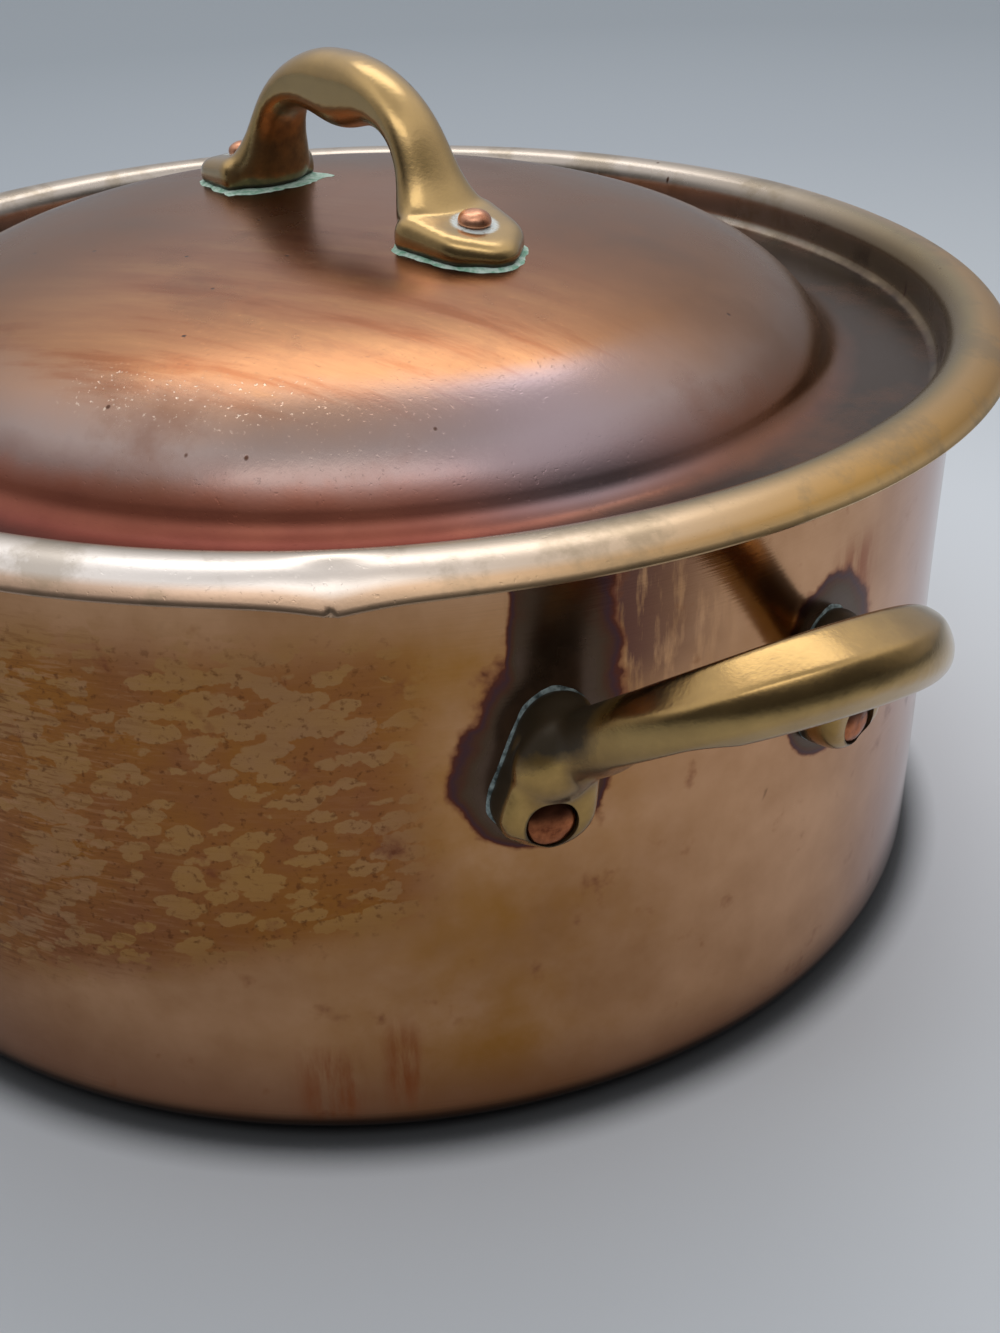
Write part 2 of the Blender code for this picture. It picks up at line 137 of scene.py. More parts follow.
def mapped(value, low, high, start=0.0, end=1.0):
    """A value's range from low to high, carried over to start to end and held there outside it."""
    ends = {"From Min": low, "From Max": high, "To Min": start, "To Max": end}
    return node(value.id_data, "MapRange", {"Value": value, **ends})


def product(first, *others):
    for other in others:
        first = maths("MULTIPLY", first, other)
    return first


def laid(colour, tint, *shares):
    """Lays a tint over a colour, as thickly as the product of the shares says."""
    return mix(product(*shares), colour, tint)


def maths(operation, *inputs):
    tree = next(i.id_data for i in inputs if isinstance(i, bpy.types.NodeSocket))
    return node(tree, "Math", dict(enumerate(inputs)), operation=operation)


def vectors(operation, *inputs, out=0):
    """Vector maths on a socket and what follows it."""
    return node(inputs[0].id_data, "VectorMath", dict(enumerate(inputs)), out=out, operation=operation)


def painted(tree, name, kind="Fac"):
    """What the mesh carries under a name, a number or with kind Vector a vector."""
    return node(tree, "Attribute", {}, out=kind, attribute_name=name)


def clouded(place, size, detail=5.0, roughness=0.6):
    """Noise whose features are about a size wide, in the units of the place given."""
    inputs = {"Vector": place, "Scale": 1 / size, "Detail": detail, "Roughness": roughness}
    return node(place.id_data, "TexNoise", inputs)


def along_grain(place, degrees, size):
    """Coordinates turned by some degrees, in which one unit is as long, wide and deep as size says."""
    inputs = {"Vector": place, "Rotation": (0, 0, math.radians(degrees)), "Scale": size}
    return node(place.id_data, "Mapping", inputs, vector_type="TEXTURE")


def marks(place, degrees, length, width, kept):
    """Short strokes of a length and a width at a slope, one in each cell, with only a share of them kept."""
    tree, turned = place.id_data, along_grain(place, degrees, (length, width, 9))
    cells = node(tree, "TexVoronoi", {"Vector": turned, "Scale": 0.24}).node
    stroke = mapped(cells.outputs["Distance"], 0.085, 0.045)
    chosen = node(tree, "SeparateColor", {"Color": cells.outputs["Color"]})
    return product(stroke, mapped(chosen, 1 - kept, 1.02 - kept))


def finish_metal(material, colour, roughness, height, bump_mm, metallic=1.0, **sockets):
    """Ends a material's tree with a metal's shader, bumped by a height that runs from 0 to 1."""
    tree = material.node_tree
    bumped = node(tree, "Bump", {"Height": height, "Distance": bump_mm / 1000, "Strength": 1.0})
    inputs = {"Base Color": colour, "Metallic": metallic, "Roughness": roughness, "Normal": bumped}
    inputs.update(sockets)
    shader = node(tree, "BsdfPrincipled", inputs)
    node(tree, "OutputMaterial", {"Surface": shader})
    return material


print("white in linear light:", linear("#FFFFFF"), "mid grey:", [round(v, 3) for v in linear("#808080")])

# %% [markdown]
# ## Copper that has been on the stove
# Polished copper is salmon pink. Heat and air lay a film of oxide on it that turns it golden brown, then
# purple, then nearly black, and water spots dry lighter with a hard edge. The film is thinner than a hair, so
# the metal stays glossy: the colour and the roughness change, the shape does not. The mesh carries the large
# zones as painted values, such as how near a handle's pad a point lies, and noise breaks up their edges.

# %% Copper of the pot's wall
def pot_copper():
    material, tree = new_material("copper_sheet_heat_stained")
    mm = in_millimetres(tree)
    wrapped = painted(tree, "wrapped", "Vector")
    clouds = clouded(mm, 34)
    colour = ramp(clouds, ((0.30, "#A0714A"), (0.72, "#CFA07A")))
    colour = laid(colour, "#A5702F", painted(tree, "golden"), mapped(clouded(mm, 22), 0.36, 0.62, 0.25, 1))
    # brown ground with lighter dried water spots, 1 to 6 mm long, which run together where they lie thick
    spotted = painted(tree, "spotted")
    colour = laid(colour, ramp(clouded(wrapped, 26), ((0.36, "#8F5A39"), (0.60, "#9A632E"))), spotted)
    bent = vectors("ADD", clouded(wrapped, 2.2, 3.0), (-0.5, -0.5, 0))
    bent = vectors("MULTIPLY_ADD", bent, (3.2, 2.6, 0), wrapped)
    bent = along_grain(bent, 9, (5.8, 2.8, 9))
    spots = node(tree, "TexVoronoi", {"Vector": bent, "Scale": 1.0}, out="Distance")
    spots = maths("SUBTRACT", mapped(clouded(wrapped, 13, 4.0), 0.34, 0.64, 0.22, 0.74), spots)
    fleck_mask = product(mapped(spots, -0.02, 0.035, 0, 0.9), spotted)
    spot_tint = ramp(clouded(wrapped, 30), ((0.38, "#A27752"), (0.60, "#AB7D48")))
    colour = laid(colour, spot_tint, fleck_mask)
    # dried rinses lie in fine level streaks towards the left, where the flecks break up
    dried = clouded(vectors("MULTIPLY", wrapped, (0.16, 1.15, 1)), 1.0, 5.0, 0.65)
    streaked = product(painted(tree, "rinsed"), spotted)
    colour = laid(colour, "#B0805A", mapped(dried, 0.54, 0.62, 0, 0.75), streaked)
    colour = laid(colour, "#80502C", mapped(dried, 0.46, 0.38, 0, 0.75), streaked)
    grit = mapped(clouded(wrapped, 1.5, 4.0), 0.57, 0.68, 0, 0.7)
    colour = laid(colour, "#6A3F24", grit, spotted)
    colour = laid(colour, "#A27C7C", painted(tree, "mauve"), 0.75)
    colour = laid(colour, "#7C5340", painted(tree, "low"), 0.75)
    smears = mapped(clouded(vectors("MULTIPLY", wrapped, (1, 0.16, 1)), 2.6), 0.36, 0.58)
    colour = laid(colour, "#8E4A26", smears, painted(tree, "stain"))
    # smoke drawn down from the lip in upright streaks beside the front pad, partly a painted dark reflection of
    # the handle's arm in the wall
    smoke_and_reflection = mapped(maths("ADD", smears, clouded(mm, 6)), 0.45, 1.15)
    colour = laid(colour, "#62403A", smoke_and_reflection, painted(tree, "smoke"))
    # heat colours round each pad, from straw and purple at the rim of the stain to soot against the casting
    depth = maths("MULTIPLY_ADD", clouded(mm, 8, 4.0, 0.55), 0.75, painted(tree, "halo"))
    depth = mapped(depth, 0.47, 1.38)
    heat = ramp(depth, ((0.0, "#9A6238"), (0.08, "#7E4630"), (0.16, "#5E3428"), (0.27, "#4C3436"),
                        (0.40, "#56392C"), (0.60, "#54402F"), (0.85, "#5A4230")))
    halo_mask = mapped(depth, 0.0, 0.16)
    colour = laid(colour, heat, halo_mask)
    # dark pits under a millimetre wide, and strokes of the scourer at two slopes
    pits = marks(mm, 0, 1.7, 1.7, 0.25)
    strokes = maths("ADD", marks(wrapped, 66, 7, 2.0, 0.10), marks(wrapped, 12, 22, 1.6, 0.22))
    strokes = product(strokes, mapped(clouded(wrapped, 3, 2.0), 0.42, 0.60), painted(tree, "scoured"), 0.75)
    colour = laid(colour, "#4E2E1C", maths("MAXIMUM", pits, strokes))
    # wiping scratches, 0.2 mm apart in life, drawn twice as coarse so that they show
    lines = clouded(in_millimetres(tree, (0.06, 0.06, 2.2)), 1.0, 3.0, 0.5)
    rough = mapped(clouds, 0.3, 0.7, 0.10, 0.17)
    rough = maths("MULTIPLY_ADD", fleck_mask, 0.10, rough)
    rough = maths("MULTIPLY_ADD", halo_mask, 0.10, rough)
    height = maths("MULTIPLY_ADD", pits, -3.0, lines)
    # soot is no metal: where it lies thick, and over the painted reflection above the front pad, it shows as a
    # matt brown of its own
    return finish_metal(material, colour, rough, height, 0.02, metallic=mapped(depth, 0.45, 0.85, 1.0, 0.45))


# %% [markdown]
# ## Turned sheet
# Pot and lid are bodies of revolution in sheet metal. A profile is drawn on one side of the axis, given the
# sheet's thickness, and swept round. The Screw modifier would do it, but points made here can also carry the
# zones of the patina and the small dents of use, so numpy sweeps the profile instead.

# %% Profiles
POT_RADIUS, POT_TAPER, POT_HEIGHT, POT_WALL, POT_CORNER = 0.1200, 0.0012, 0.1147, 0.0015, 0.0067
RIM_BEND, LIP_BEND, LID_SHEET, SEAT_GAP = 0.0034, 0.0084, 0.0010, 0.0003
LIP_END, FLANGE_END = 61, 36.5  # where the two curls end, in degrees up from straight outward
RECESS_DEPTH, LEDGE_WIDTH, LEDGE_FILLET, DOME_FOOT = 0.0106, 0.0213, 0.0022, 0.0055
DOME_HEIGHT, DOME_ACROSS, DOME_UP, DOME_LAST_TURN = 0.0275, 3.161, 1.662, 78
RIM_MIDDLE = POT_RADIUS - POT_WALL + RIM_BEND
LID_OFFSET = SEAT_GAP + LID_SHEET
LEDGE_LEVEL = POT_HEIGHT + LID_OFFSET - RECESS_DEPTH
RECESS_RADIUS = POT_RADIUS - POT_TAPER * RECESS_DEPTH / POT_HEIGHT - POT_WALL - LID_OFFSET
DOME_RADIUS = RECESS_RADIUS - LEDGE_WIDTH
ON_AXIS = 1e-6  # a point nearer to the axis than this is on it


def unit(arrows):
    """Arrows of the same directions, one long."""
    return arrows / np.linalg.norm(arrows, axis=-1)[..., None]


def arc(middle, radius, start, end, steps):
    """Points (reach, height) on a circle, with the angles in degrees from straight outward."""
    angles = np.radians(np.linspace(start, end, steps + 1))
    return np.stack([middle[0] + radius * np.cos(angles), middle[1] + radius * np.sin(angles)], 1)


def wall_radius(height):
    share = (height - POT_CORNER) / (POT_HEIGHT - RIM_BEND - POT_CORNER)
    return POT_RADIUS - POT_TAPER * (1 - share)


def dome_level(reach):
    return LEDGE_LEVEL + DOME_HEIGHT * (1 - (reach / DOME_RADIUS) ** DOME_ACROSS) ** (1 / DOME_UP)


def pot_profile():
    """The outside of the pot, from the edge of its lip down to the middle of the base."""
    base = POT_RADIUS - POT_TAPER
    lip = arc((RIM_MIDDLE, POT_HEIGHT - LIP_BEND), LIP_BEND - POT_WALL, LIP_END, 90, 8)
    bend = arc((RIM_MIDDLE, POT_HEIGHT - RIM_BEND), RIM_BEND - POT_WALL, 90, 180, 10)
    heights = np.linspace(POT_HEIGHT - RIM_BEND, POT_CORNER, 72)[1:-1]
    wall = np.stack([wall_radius(heights), heights], 1)
    corner = arc((base - POT_CORNER, POT_CORNER), POT_CORNER, 0, -90, 12)
    floor = np.stack([np.linspace(base - POT_CORNER, 0, 20)[1:], np.zeros(19)], 1)
    return np.concatenate([lip[:-1], bend, wall, corner, floor])


def lid_profile():
    """The upper side of the lid, from the top of the dome to the edge of the flange."""
    turns = np.radians(np.linspace(0, DOME_LAST_TURN, 46))
    reach = DOME_RADIUS * np.sin(turns) ** (2 / DOME_ACROSS)
    dome = np.stack([reach, LEDGE_LEVEL + DOME_HEIGHT * np.cos(turns) ** (2 / DOME_UP)], 1)
    s = np.linspace(0, 1, 9)[1:, None]
    corner = np.array([DOME_RADIUS, LEDGE_LEVEL])
    end = corner + [DOME_FOOT, 0]
    hollow = (1 - s) ** 2 * dome[-1] + 2 * s * (1 - s) * corner + s**2 * end
    ledge_end = RECESS_RADIUS - LEDGE_FILLET
    ledge = np.linspace(end, (ledge_end, LEDGE_LEVEL), 8)[1:-1]
    fillet = arc((ledge_end, LEDGE_LEVEL + LEDGE_FILLET), LEDGE_FILLET, -90, 0, 6)
    recess = arc((RIM_MIDDLE, POT_HEIGHT - RIM_BEND), RIM_BEND + LID_OFFSET, 180, 90, 10)
    wall = np.linspace(fillet[-1], recess[0], 5)[1:-1]
    flange = arc((RIM_MIDDLE, POT_HEIGHT - LIP_BEND), LIP_BEND + LID_OFFSET, 90, FLANGE_END, 16)
    return np.concatenate([dome, hollow, ledge, fillet, wall, recess, flange[1:]])


def sheet_loop(profile, thickness):
    """Profile plus its other side, a sheet's thickness inward, and how many points belong to the first."""
    along = unit(np.gradient(profile, axis=0))
    other = profile + np.stack([along[:, 1], -along[:, 0]], 1) * thickness
    other[profile[:, 0] < ON_AXIS, 0] = 0
    loop, edge_turns = [profile], np.radians([[45], [90], [135]])
    for k, end in ((-1, 1), (0, -1)):
        if profile[k, 0] > ON_AXIS:
            middle, half, turns = (profile[k] + other[k]) / 2, (profile[k] - other[k]) / 2, edge_turns[::end]
            loop.append(middle + half * np.cos(turns) + along[k] * end * thickness / 2 * np.sin(turns))
        if k:
            loop.append(other[::-1])
    return np.concatenate(loop), len(profile) + (len(edge_turns) if profile[-1, 0] > ON_AXIS else 0)


pot_sheet, pot_outside = sheet_loop(pot_profile(), POT_WALL)
lid_sheet, lid_outside = sheet_loop(lid_profile(), LID_SHEET)
print("pot profile", len(pot_sheet), "points, lid profile", len(lid_sheet), "points")

# %% [markdown]
# ## From profile to metal
# The swept sheet is closed: an outer side, an inner side and a rounded edge where the sheet ends. Hand-beaten
# and long-used sheet is never true, so a slow noise moves every point by up to a fifth of a millimetre. That is
# too little to see as shape and enough to bend the reflections.

# %% Pieces and their points
def new_piece(name, mesh, body, slot, *finishes):
    """Links a mesh as a piece that rides on a body and wears the finishes given. The slot is not used."""
    piece = in_scene(name, mesh)
    for finish in finishes:
        mesh.materials.append(finish)
    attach(piece, body)
    return piece


def smooth(mesh, degrees=35):
    mesh.polygons.foreach_set("use_smooth", [True] * len(mesh.polygons))
    mesh.set_sharp_from_angle(angle=math.radians(degrees))


def paint(mesh, name, values):
    """Stores one number per point, which a material reads by name."""
    mesh.attributes.new(name, "FLOAT", "POINT").data.foreach_set("value", np.asarray(values, np.float32))


def points_of(mesh, what="co"):
    """The places of a mesh's points, or their normals."""
    flat = np.empty(len(mesh.vertices) * 3)
    mesh.vertices.foreach_get(what, flat)
    return flat.reshape(-1, 3)


def reach_of(points):
    return np.hypot(points[:, 0], points[:, 1])


def azimuth_of(points):
    return np.degrees(np.arctan2(points[:, 1], points[:, 0]))


def finished(made, mesh):
    """Turns all faces outward and stores them in the mesh."""
    bmesh.ops.recalc_face_normals(made, faces=made.faces[:])
    made.to_mesh(mesh)
    made.free()
    return mesh


def move_points(mesh, points):
    mesh.vertices.foreach_set("co", points.ravel())
    mesh.update()


def step(values, low, high):
    """0 at low and 1 at high, with an eased rise between, or an eased fall where low is the greater."""
    t = np.clip((values - low) / (high - low), 0, 1)
    return t * t * (3 - 2 * t)


def bump(values, middle, width, power=2):
    """1 at the middle, dying away on both sides. A higher power gives a flatter top and steeper sides."""
    return np.exp(-((values - middle) / width) ** power)


def band(values, start, full, fade, end):
    """0 outside start and end, 1 between full and fade."""
    return step(values, start, full) * step(values, end, fade)


# %% Sweep a sheet round the axis
def uneven(points, size, amount, seed):
    """Moves points along their own direction from the axis by slow noise. Size and amount are in metres."""
    shift = [noise.noise(Vector(p) / size + Vector((seed, 0, 0))) * amount for p in points]
    return points + unit(points * [1, 1, 0.4] - [0, 0, 0.03]) * np.array(shift)[:, None]


def swept(name, loop, outside, degrees):
    """Sweeps a closed loop of (reach, height) points. Points before outside belong to the outer face."""
    angles = np.radians(degrees)
    turns, count = len(angles), len(loop)
    points = np.stack([
        np.outer(np.cos(angles), loop[:, 0]), np.outer(np.sin(angles), loop[:, 0]),
        np.repeat(loop[None, :, 1], turns, axis=0)], -1).reshape(-1, 3)
    faces = []
    for t in range(turns):
        here, there = t * count, (t + 1) % turns * count
        for k in range(count):
            following = (k + 1) % count
            faces.append((here + k, there + k, there + following, here + following))
    mesh = bpy.data.meshes.new(name)
    mesh.from_pydata(points, [], faces)
    lined = [int(k >= outside) for _ in range(turns) for k in range(count)]
    mesh.polygons.foreach_set("material_index", lined)
    made = bmesh.new()
    made.from_mesh(mesh)
    bmesh.ops.remove_doubles(made, verts=made.verts[:], dist=1e-7)
    bmesh.ops.dissolve_degenerate(made, edges=made.edges[:], dist=1e-8)
    smooth(finished(made, mesh))
    return mesh


# %% [markdown]
# ## The other finishes
# Tin is wiped on molten, so it lies thick in places and shines like dull silver. Brass handles are cast in
# sand:
# the skin keeps a fine grain, the hollows keep polish, soot and painted shade, and hands rub the proud edges
# bright.

# %% Copper of the lid
LID_EDGE = 130  # millimetres from the lid's middle to just outside its flange


def by_radius(reach, *stops):
    """A colour ramp from the lid's middle outward, its stops in millimetres."""
    return ramp(maths("DIVIDE", reach, LID_EDGE), [(radius / LID_EDGE, tint) for radius, tint in stops])


def lid_copper():
    material, tree = new_material("copper_lid_tarnished")
    mm = in_millimetres(tree)
    reach = vectors("LENGTH", in_millimetres(tree, (1, 1, 0)), out="Value")
    shifted = maths("MULTIPLY_ADD", clouded(mm, 12), 5.0, reach)
    colour = by_radius(
        maths("SUBTRACT", shifted, 2.5), (0, "#A26640"), (50, "#A86E48"), (74, "#AC7850"), (82, "#AE8A74"),
        (88, "#A08C84"), (91, "#8E746C"), (94, "#96604C"), (98, "#6E4A3C"), (102, "#4A382E"),
        (112, "#46362C"), (117, "#3A281E"))
    # rubbing in long strokes has bared brighter and redder metal under the brown
    stroked = clouded(along_grain(mm, 35, (34, 5, 34)), 1.0, 6.0, 0.62)
    warm = painted(tree, "warm")
    colour = laid(colour, "#B98558", mapped(stroked, 0.50, 0.66, 0, 0.7), warm)
    colour = laid(colour, "#96542C", mapped(stroked, 0.47, 0.34, 0, 0.7), warm)
    clouds = clouded(mm, 26, 6.0, 0.62)
    colour = laid(colour, "#7E583E", painted(tree, "brown"), mapped(clouds, 0.3, 0.6, 0.95, 0.6))
    colour = laid(colour, "#7E543C", mapped(clouds, 0.52, 0.68, 0, 0.5))
    # painted highlight over lilac-grey tarnish: the dome's front shoulder paler and greyer where the lamps'
    # highlight bands fall
    colour = laid(colour, "#9C8A8E", painted(tree, "lilac_and_highlight"))
    # painted shade and reflection: dark red on the front ledge and the dome's foot, as the dome reflected in
    # the ledge, and rougher there
    front_ledge = by_radius(shifted, (94, "#A8644C"), (101, "#7E3E32"), (106, "#54261F"))
    colour = laid(colour, front_ledge, painted(tree, "ledge_shade"))
    # the flange: olive where it turns up and tan again at its edge; round most of the lid its curl is pale,
    # partly polish and partly a painted highlight that runs near white
    flange = by_radius(reach, (117, "#7E6A50"), (121, "#9C8A66"), (124, "#BC9A6C"), (127, "#C0965A"),
                       (128.6, "#B88E4E"), (129.6, "#D2B07C"))
    highlit_flange = by_radius(reach, (117, "#B4AAA0"), (121, "#BEB2A4"), (124.5, "#E2DAD2"), (127.4, "#E4DCD4"),
                            (128.6, "#C8A88E"), (129.6, "#C0A086"))
    flange = laid(flange, highlit_flange, painted(tree, "pale"))
    flange = laid(flange, "#8C7C62", mapped(clouded(mm, 14, 6.0, 0.65), 0.50, 0.62, 0, 0.45))
    colour = laid(colour, flange, mapped(shifted, 117.5, 119.5))
    specks = mapped(clouded(mm, 0.9, 2.0), 0.64, 0.72, 0, 0.7)
    colour = laid(colour, "#F0DCC8", specks, painted(tree, "pitted"))
    pits = marks(mm, 0, 1.4, 1.4, 0.20)
    colour = laid(colour, "#5A3A2A", pits)
    rough = maths("ADD", mapped(clouds, 0.3, 0.7, 0.21, 0.30), mapped(reach, 119, 124, 0, 0.08))
    rough = maths("MULTIPLY_ADD", painted(tree, "ledge_shade"), 0.25, rough)
    fine = maths("MULTIPLY_ADD", maths("ADD", specks, pits), -1.5, clouded(mm, 0.8, 3.0))
    coat = product(mapped(painted(tree, "brown"), 0, 1, 0.30, 0.08), mapped(reach, 94, 99, 1, 0.2))
    return finish_metal(material, colour, rough, fine, 0.014, **{"Coat Weight": coat, "Coat Roughness": 0.3})


# %% Tin lining, brass, rivets and crust
def tin_lining():
    material, tree = new_material("tin_wiped_lining")
    mm = in_millimetres(tree)
    base = ramp(clouded(mm, 30, 6.0), ((0.32, "#7C7A74"), (0.66, "#B9B7AE")))
    streaks = clouded(in_millimetres(tree, (1, 1, 0.15)), 3, 4.0)
    return finish_metal(material, base, mapped(streaks, 0.3, 0.7, 0.34, 0.52), streaks, 0.05)


def cast_brass():
    material, tree = new_material("brass_sand_cast_worn")
    mm = in_millimetres(tree)
    clouds = clouded(mm, 11, 6.0, 0.65)
    colour = ramp(clouds, ((0.30, "#86642A"), (0.66, "#B08B4A")))
    colour = laid(colour, "#C4A670", painted(tree, "rubbed"))
    # grime and painted shade together: dark in the hollows, under the bars and against the sheet, broken by
    # noise
    grime_and_shade = maths("MULTIPLY_ADD", clouded(mm, 4), 0.6, painted(tree, "grime_and_shade"))
    grime_and_shade = mapped(grime_and_shade, 0.48, 0.95)
    colour = laid(colour, "#463A28", grime_and_shade)
    pits = marks(mm, 0, 1.4, 1.4, 0.25)
    colour = laid(colour, "#3A2C18", pits)
    chalk = product(painted(tree, "chalk"), mapped(clouded(mm, 1.2), 0.3, 0.45, 0.4, 1))
    colour = laid(colour, "#DDE6E2", chalk)
    grain = maths("MULTIPLY_ADD", pits, -2.0, clouded(mm, 0.7, 4.0))
    rough = maths("MULTIPLY_ADD", grime_and_shade, 0.25, mapped(clouds, 0.3, 0.7, 0.17, 0.26))
    coat = mapped(grime_and_shade, 0, 1, 0.7, 0.05)
    dulled = maths("MAXIMUM", chalk, product(grime_and_shade, 0.6))
    return finish_metal(material, colour, rough, grain, 0.03, maths("SUBTRACT", 1.0, dulled),
                        **{"Coat Weight": coat, "Coat Roughness": 0.26})


def rivet_copper(name, dark, light):
    material, tree = new_material(name)
    mm = in_millimetres(tree)
    clouds = clouded(mm, 3)
    base = ramp(clouds, ((0.30, dark), (0.60, light)))
    # painted shadow: the upper part of a sunk rivet head darkened, as the seat's wall would shade it
    base = laid(base, "#3A1E14", painted(tree, "head_shadow"))
    return finish_metal(material, base, mapped(clouds, 0.3, 0.7, 0.24, 0.4), clouds, 0.1)


def verdigris(name, dark, light):
    material, tree = new_material(name)
    patches = clouded(in_millimetres(tree), 1.5)
    colour = ramp(patches, ((0.36, dark), (0.60, light)))
    return finish_metal(material, colour, 0.85, patches, 0.25, metallic=0.0)


pot_finish, lid_finish, tin, brass = pot_copper(), lid_copper(), tin_lining(), cast_brass()
bright_rivet = rivet_copper("copper_rivet_rubbed", "#A86A4C", "#E2A684")
dull_rivet = rivet_copper("copper_rivet_dull_head_shadow", "#6A3824", "#B87048")
pale_crust = verdigris("verdigris_pale", "#83B89C", "#D2E8DA")
dark_crust = verdigris("verdigris_sooty", "#3E4A48", "#A4B4B2")
print("finishes", sorted(m.name for m in bpy.data.materials if m.use_nodes and m.node_tree.nodes))

# %% [markdown]
# ## Castings with filed flats
# A founder files the sprue marks off a casting, and years of hands wear flats where they grip. The CAD solids
# give the handles' bars as smooth lofts. A voxel remesh turns each into an even skin of half-millimetre faces
# that can be pushed about. Before that, each gets a finer bar round the same middle line, and bosses: closed
# forms over a rounded outline for the pads and feet. A smoothing pass melts the joints between them
# as molten metal would, and then flats are pressed into the skin along the bar's own middle line.

# %% Fine skin of a casting
BAR_STEPS, BAR_POWER, SKIN_VOXEL, SKIN_SWELL = 40, 0.88, 0.0005, 0.0002


def boss(made, outline, place, levels):
    """A closed form over a convex outline. Levels are (height share, outline share) from the sheet outward."""
    hull = geometry.convex_hull_2d(outline)
    outline = np.array(outline)[hull]
    middle = outline.mean(0)
    rings = [[made.verts.new(place(*(middle + (point - middle) * size), height)) for point in outline]
             for height, size in levels]
    close_rings(made, rings)


def join_rings(made, rings):
    for here, there in zip(rings, rings[1:]):
        for k in range(len(here)):
            n = (k + 1) % len(here)
            made.faces.new((here[k], here[n], there[n], there[k]))


def close_rings(made, rings):
    join_rings(made, rings)
    made.faces.new(rings[0][::-1])
    made.faces.new(rings[-1])


def powered(wave, power):
    """A sine or cosine to a power, with its sign kept. Under 1, the curve that they draw grows squarer."""
    return np.sign(wave) * np.abs(wave) ** power


def fine_bar(made, placed, middles, aside, upward):
    """A closed bar of soft-cornered ovals, whose half axes at each middle are aside and upward."""
    turns = np.linspace(0, 2 * math.pi, BAR_STEPS, endpoint=False)
    across, over = powered(np.cos(turns), BAR_POWER), powered(np.sin(turns), BAR_POWER)
    close_rings(made, [[made.verts.new(placed @ Vector(m + a * x + u * y)) for x, y in zip(across, over)]
                       for m, a, u in zip(middles, aside, upward)])


def circles(*places):
    """Points on some circles (across, up, radius), whose hull is a rounded outline."""
    turns = np.radians(np.arange(0, 360, 10))
    return [(x + r * math.cos(t), y + r * math.sin(t)) for x, y, r in places for t in turns]


def applied(draft, name):
    """The mesh that an object's modifiers make of it. The object itself goes."""
    mesh = bpy.data.meshes.new_from_object(draft.evaluated_get(bpy.context.evaluated_depsgraph_get()))
    bpy.data.objects.remove(draft)
    mesh.name = name
    mesh.materials.clear()
    return mesh


def cast_skin(name, add_forms, times, cad_name=None):
    """Forms, and a CAD casting if wanted, remeshed and smoothed. The swell puts back what smoothing takes."""
    made = bmesh.new()
    if cad_name:
        made.from_mesh(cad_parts[cad_name].data)
        bmesh.ops.remove_doubles(made, verts=made.verts[:], dist=1e-6)
    add_forms(made)
    draft = in_scene(name + "_draft", finished(made, bpy.data.meshes.new(name + "_raw")))
    remesh = draft.modifiers.new("remesh", "REMESH")
    remesh.mode, remesh.voxel_size = "VOXEL", SKIN_VOXEL
    soften = draft.modifiers.new("soften", "SMOOTH")
    soften.factor, soften.iterations = 0.5, times
    swell = draft.modifiers.new("swell", "DISPLACE")
    swell.strength, swell.mid_level = SKIN_SWELL, 0.0
    return applied(draft, name)


def nearest(points, others):
    """Which of the others is nearest to each point, and how far off it is."""
    tree = kdtree.KDTree(len(others))
    for k, other in enumerate(others):
        tree.insert(other, k)
    tree.balance()
    found = np.array([tree.find(p)[1:] for p in points])
    return found[:, 0].astype(int), found[:, 1]


def press_flat(points, middles, normals, share, where):
    """Presses a flat along a bar. Points that stand out past a share of the bar's own reach go down to it."""
    middle_of, _ = nearest(points, middles)
    normals = normals[middle_of]
    out = ((points - middles[middle_of]) * normals).sum(1)
    reach = np.zeros(len(middles))
    np.maximum.at(reach, middle_of, out)
    # the bar's reach at each middle: the greatest of 15 neighbours, evened over 25
    reach = np.maximum.reduce([np.roll(reach, k) for k in range(-7, 8)])
    reach = np.convolve(np.pad(reach, 12, mode="edge"), np.ones(25) / 25, mode="valid")
    limit = reach[middle_of] * (share + (1 - share) * (1 - where[middle_of]) * 1.3)
    return points - normals * (0.94 * np.clip(out - limit, 0, None))[:, None]


def soften_skin(mesh, times):
    made = bmesh.new()
    made.from_mesh(mesh)
    for _ in range(times):
        bmesh.ops.smooth_vert(
            made, verts=made.verts[:], factor=0.5, use_axis_x=True, use_axis_y=True, use_axis_z=True)
    made.to_mesh(mesh)
    made.free()


# %% Where the rivets go
POT_HEAD, LID_HEAD, CAD_HEAD_HEIGHT = 0.0042, 0.0031, 0.0022
BORE_RADIUS, BORE_DROP, BORE_HEIGHT = 0.0043, 0.0003, 0.012


def rivet_line(cad_name):
    """Middle and outward direction of a CAD rivet, and how far it reaches inward and outward from there."""
    points = points_of(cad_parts[cad_name].data)
    middle = (points.max(0) + points.min(0)) / 2
    outward = np.array([0, 0, 1.0]) if "lid" in cad_name else middle * [1, 1, 0]
    values, vectors = np.linalg.eigh(np.cov((points - points.mean(0)).T))
    odd = int(np.argmax(np.abs(values - np.median(values))))
    axis = vectors[:, odd] * np.sign(vectors[:, odd] @ outward)
    along = (points - middle) @ axis
    return middle, axis, along.min(), along.max()


def along_axis(middle, axis):
    """A place at the middle whose Z runs along the axis."""
    facing = Vector((0, 0, 1)).rotation_difference(Vector(axis)).to_matrix().to_4x4()
    return Matrix.Translation(middle) @ facing


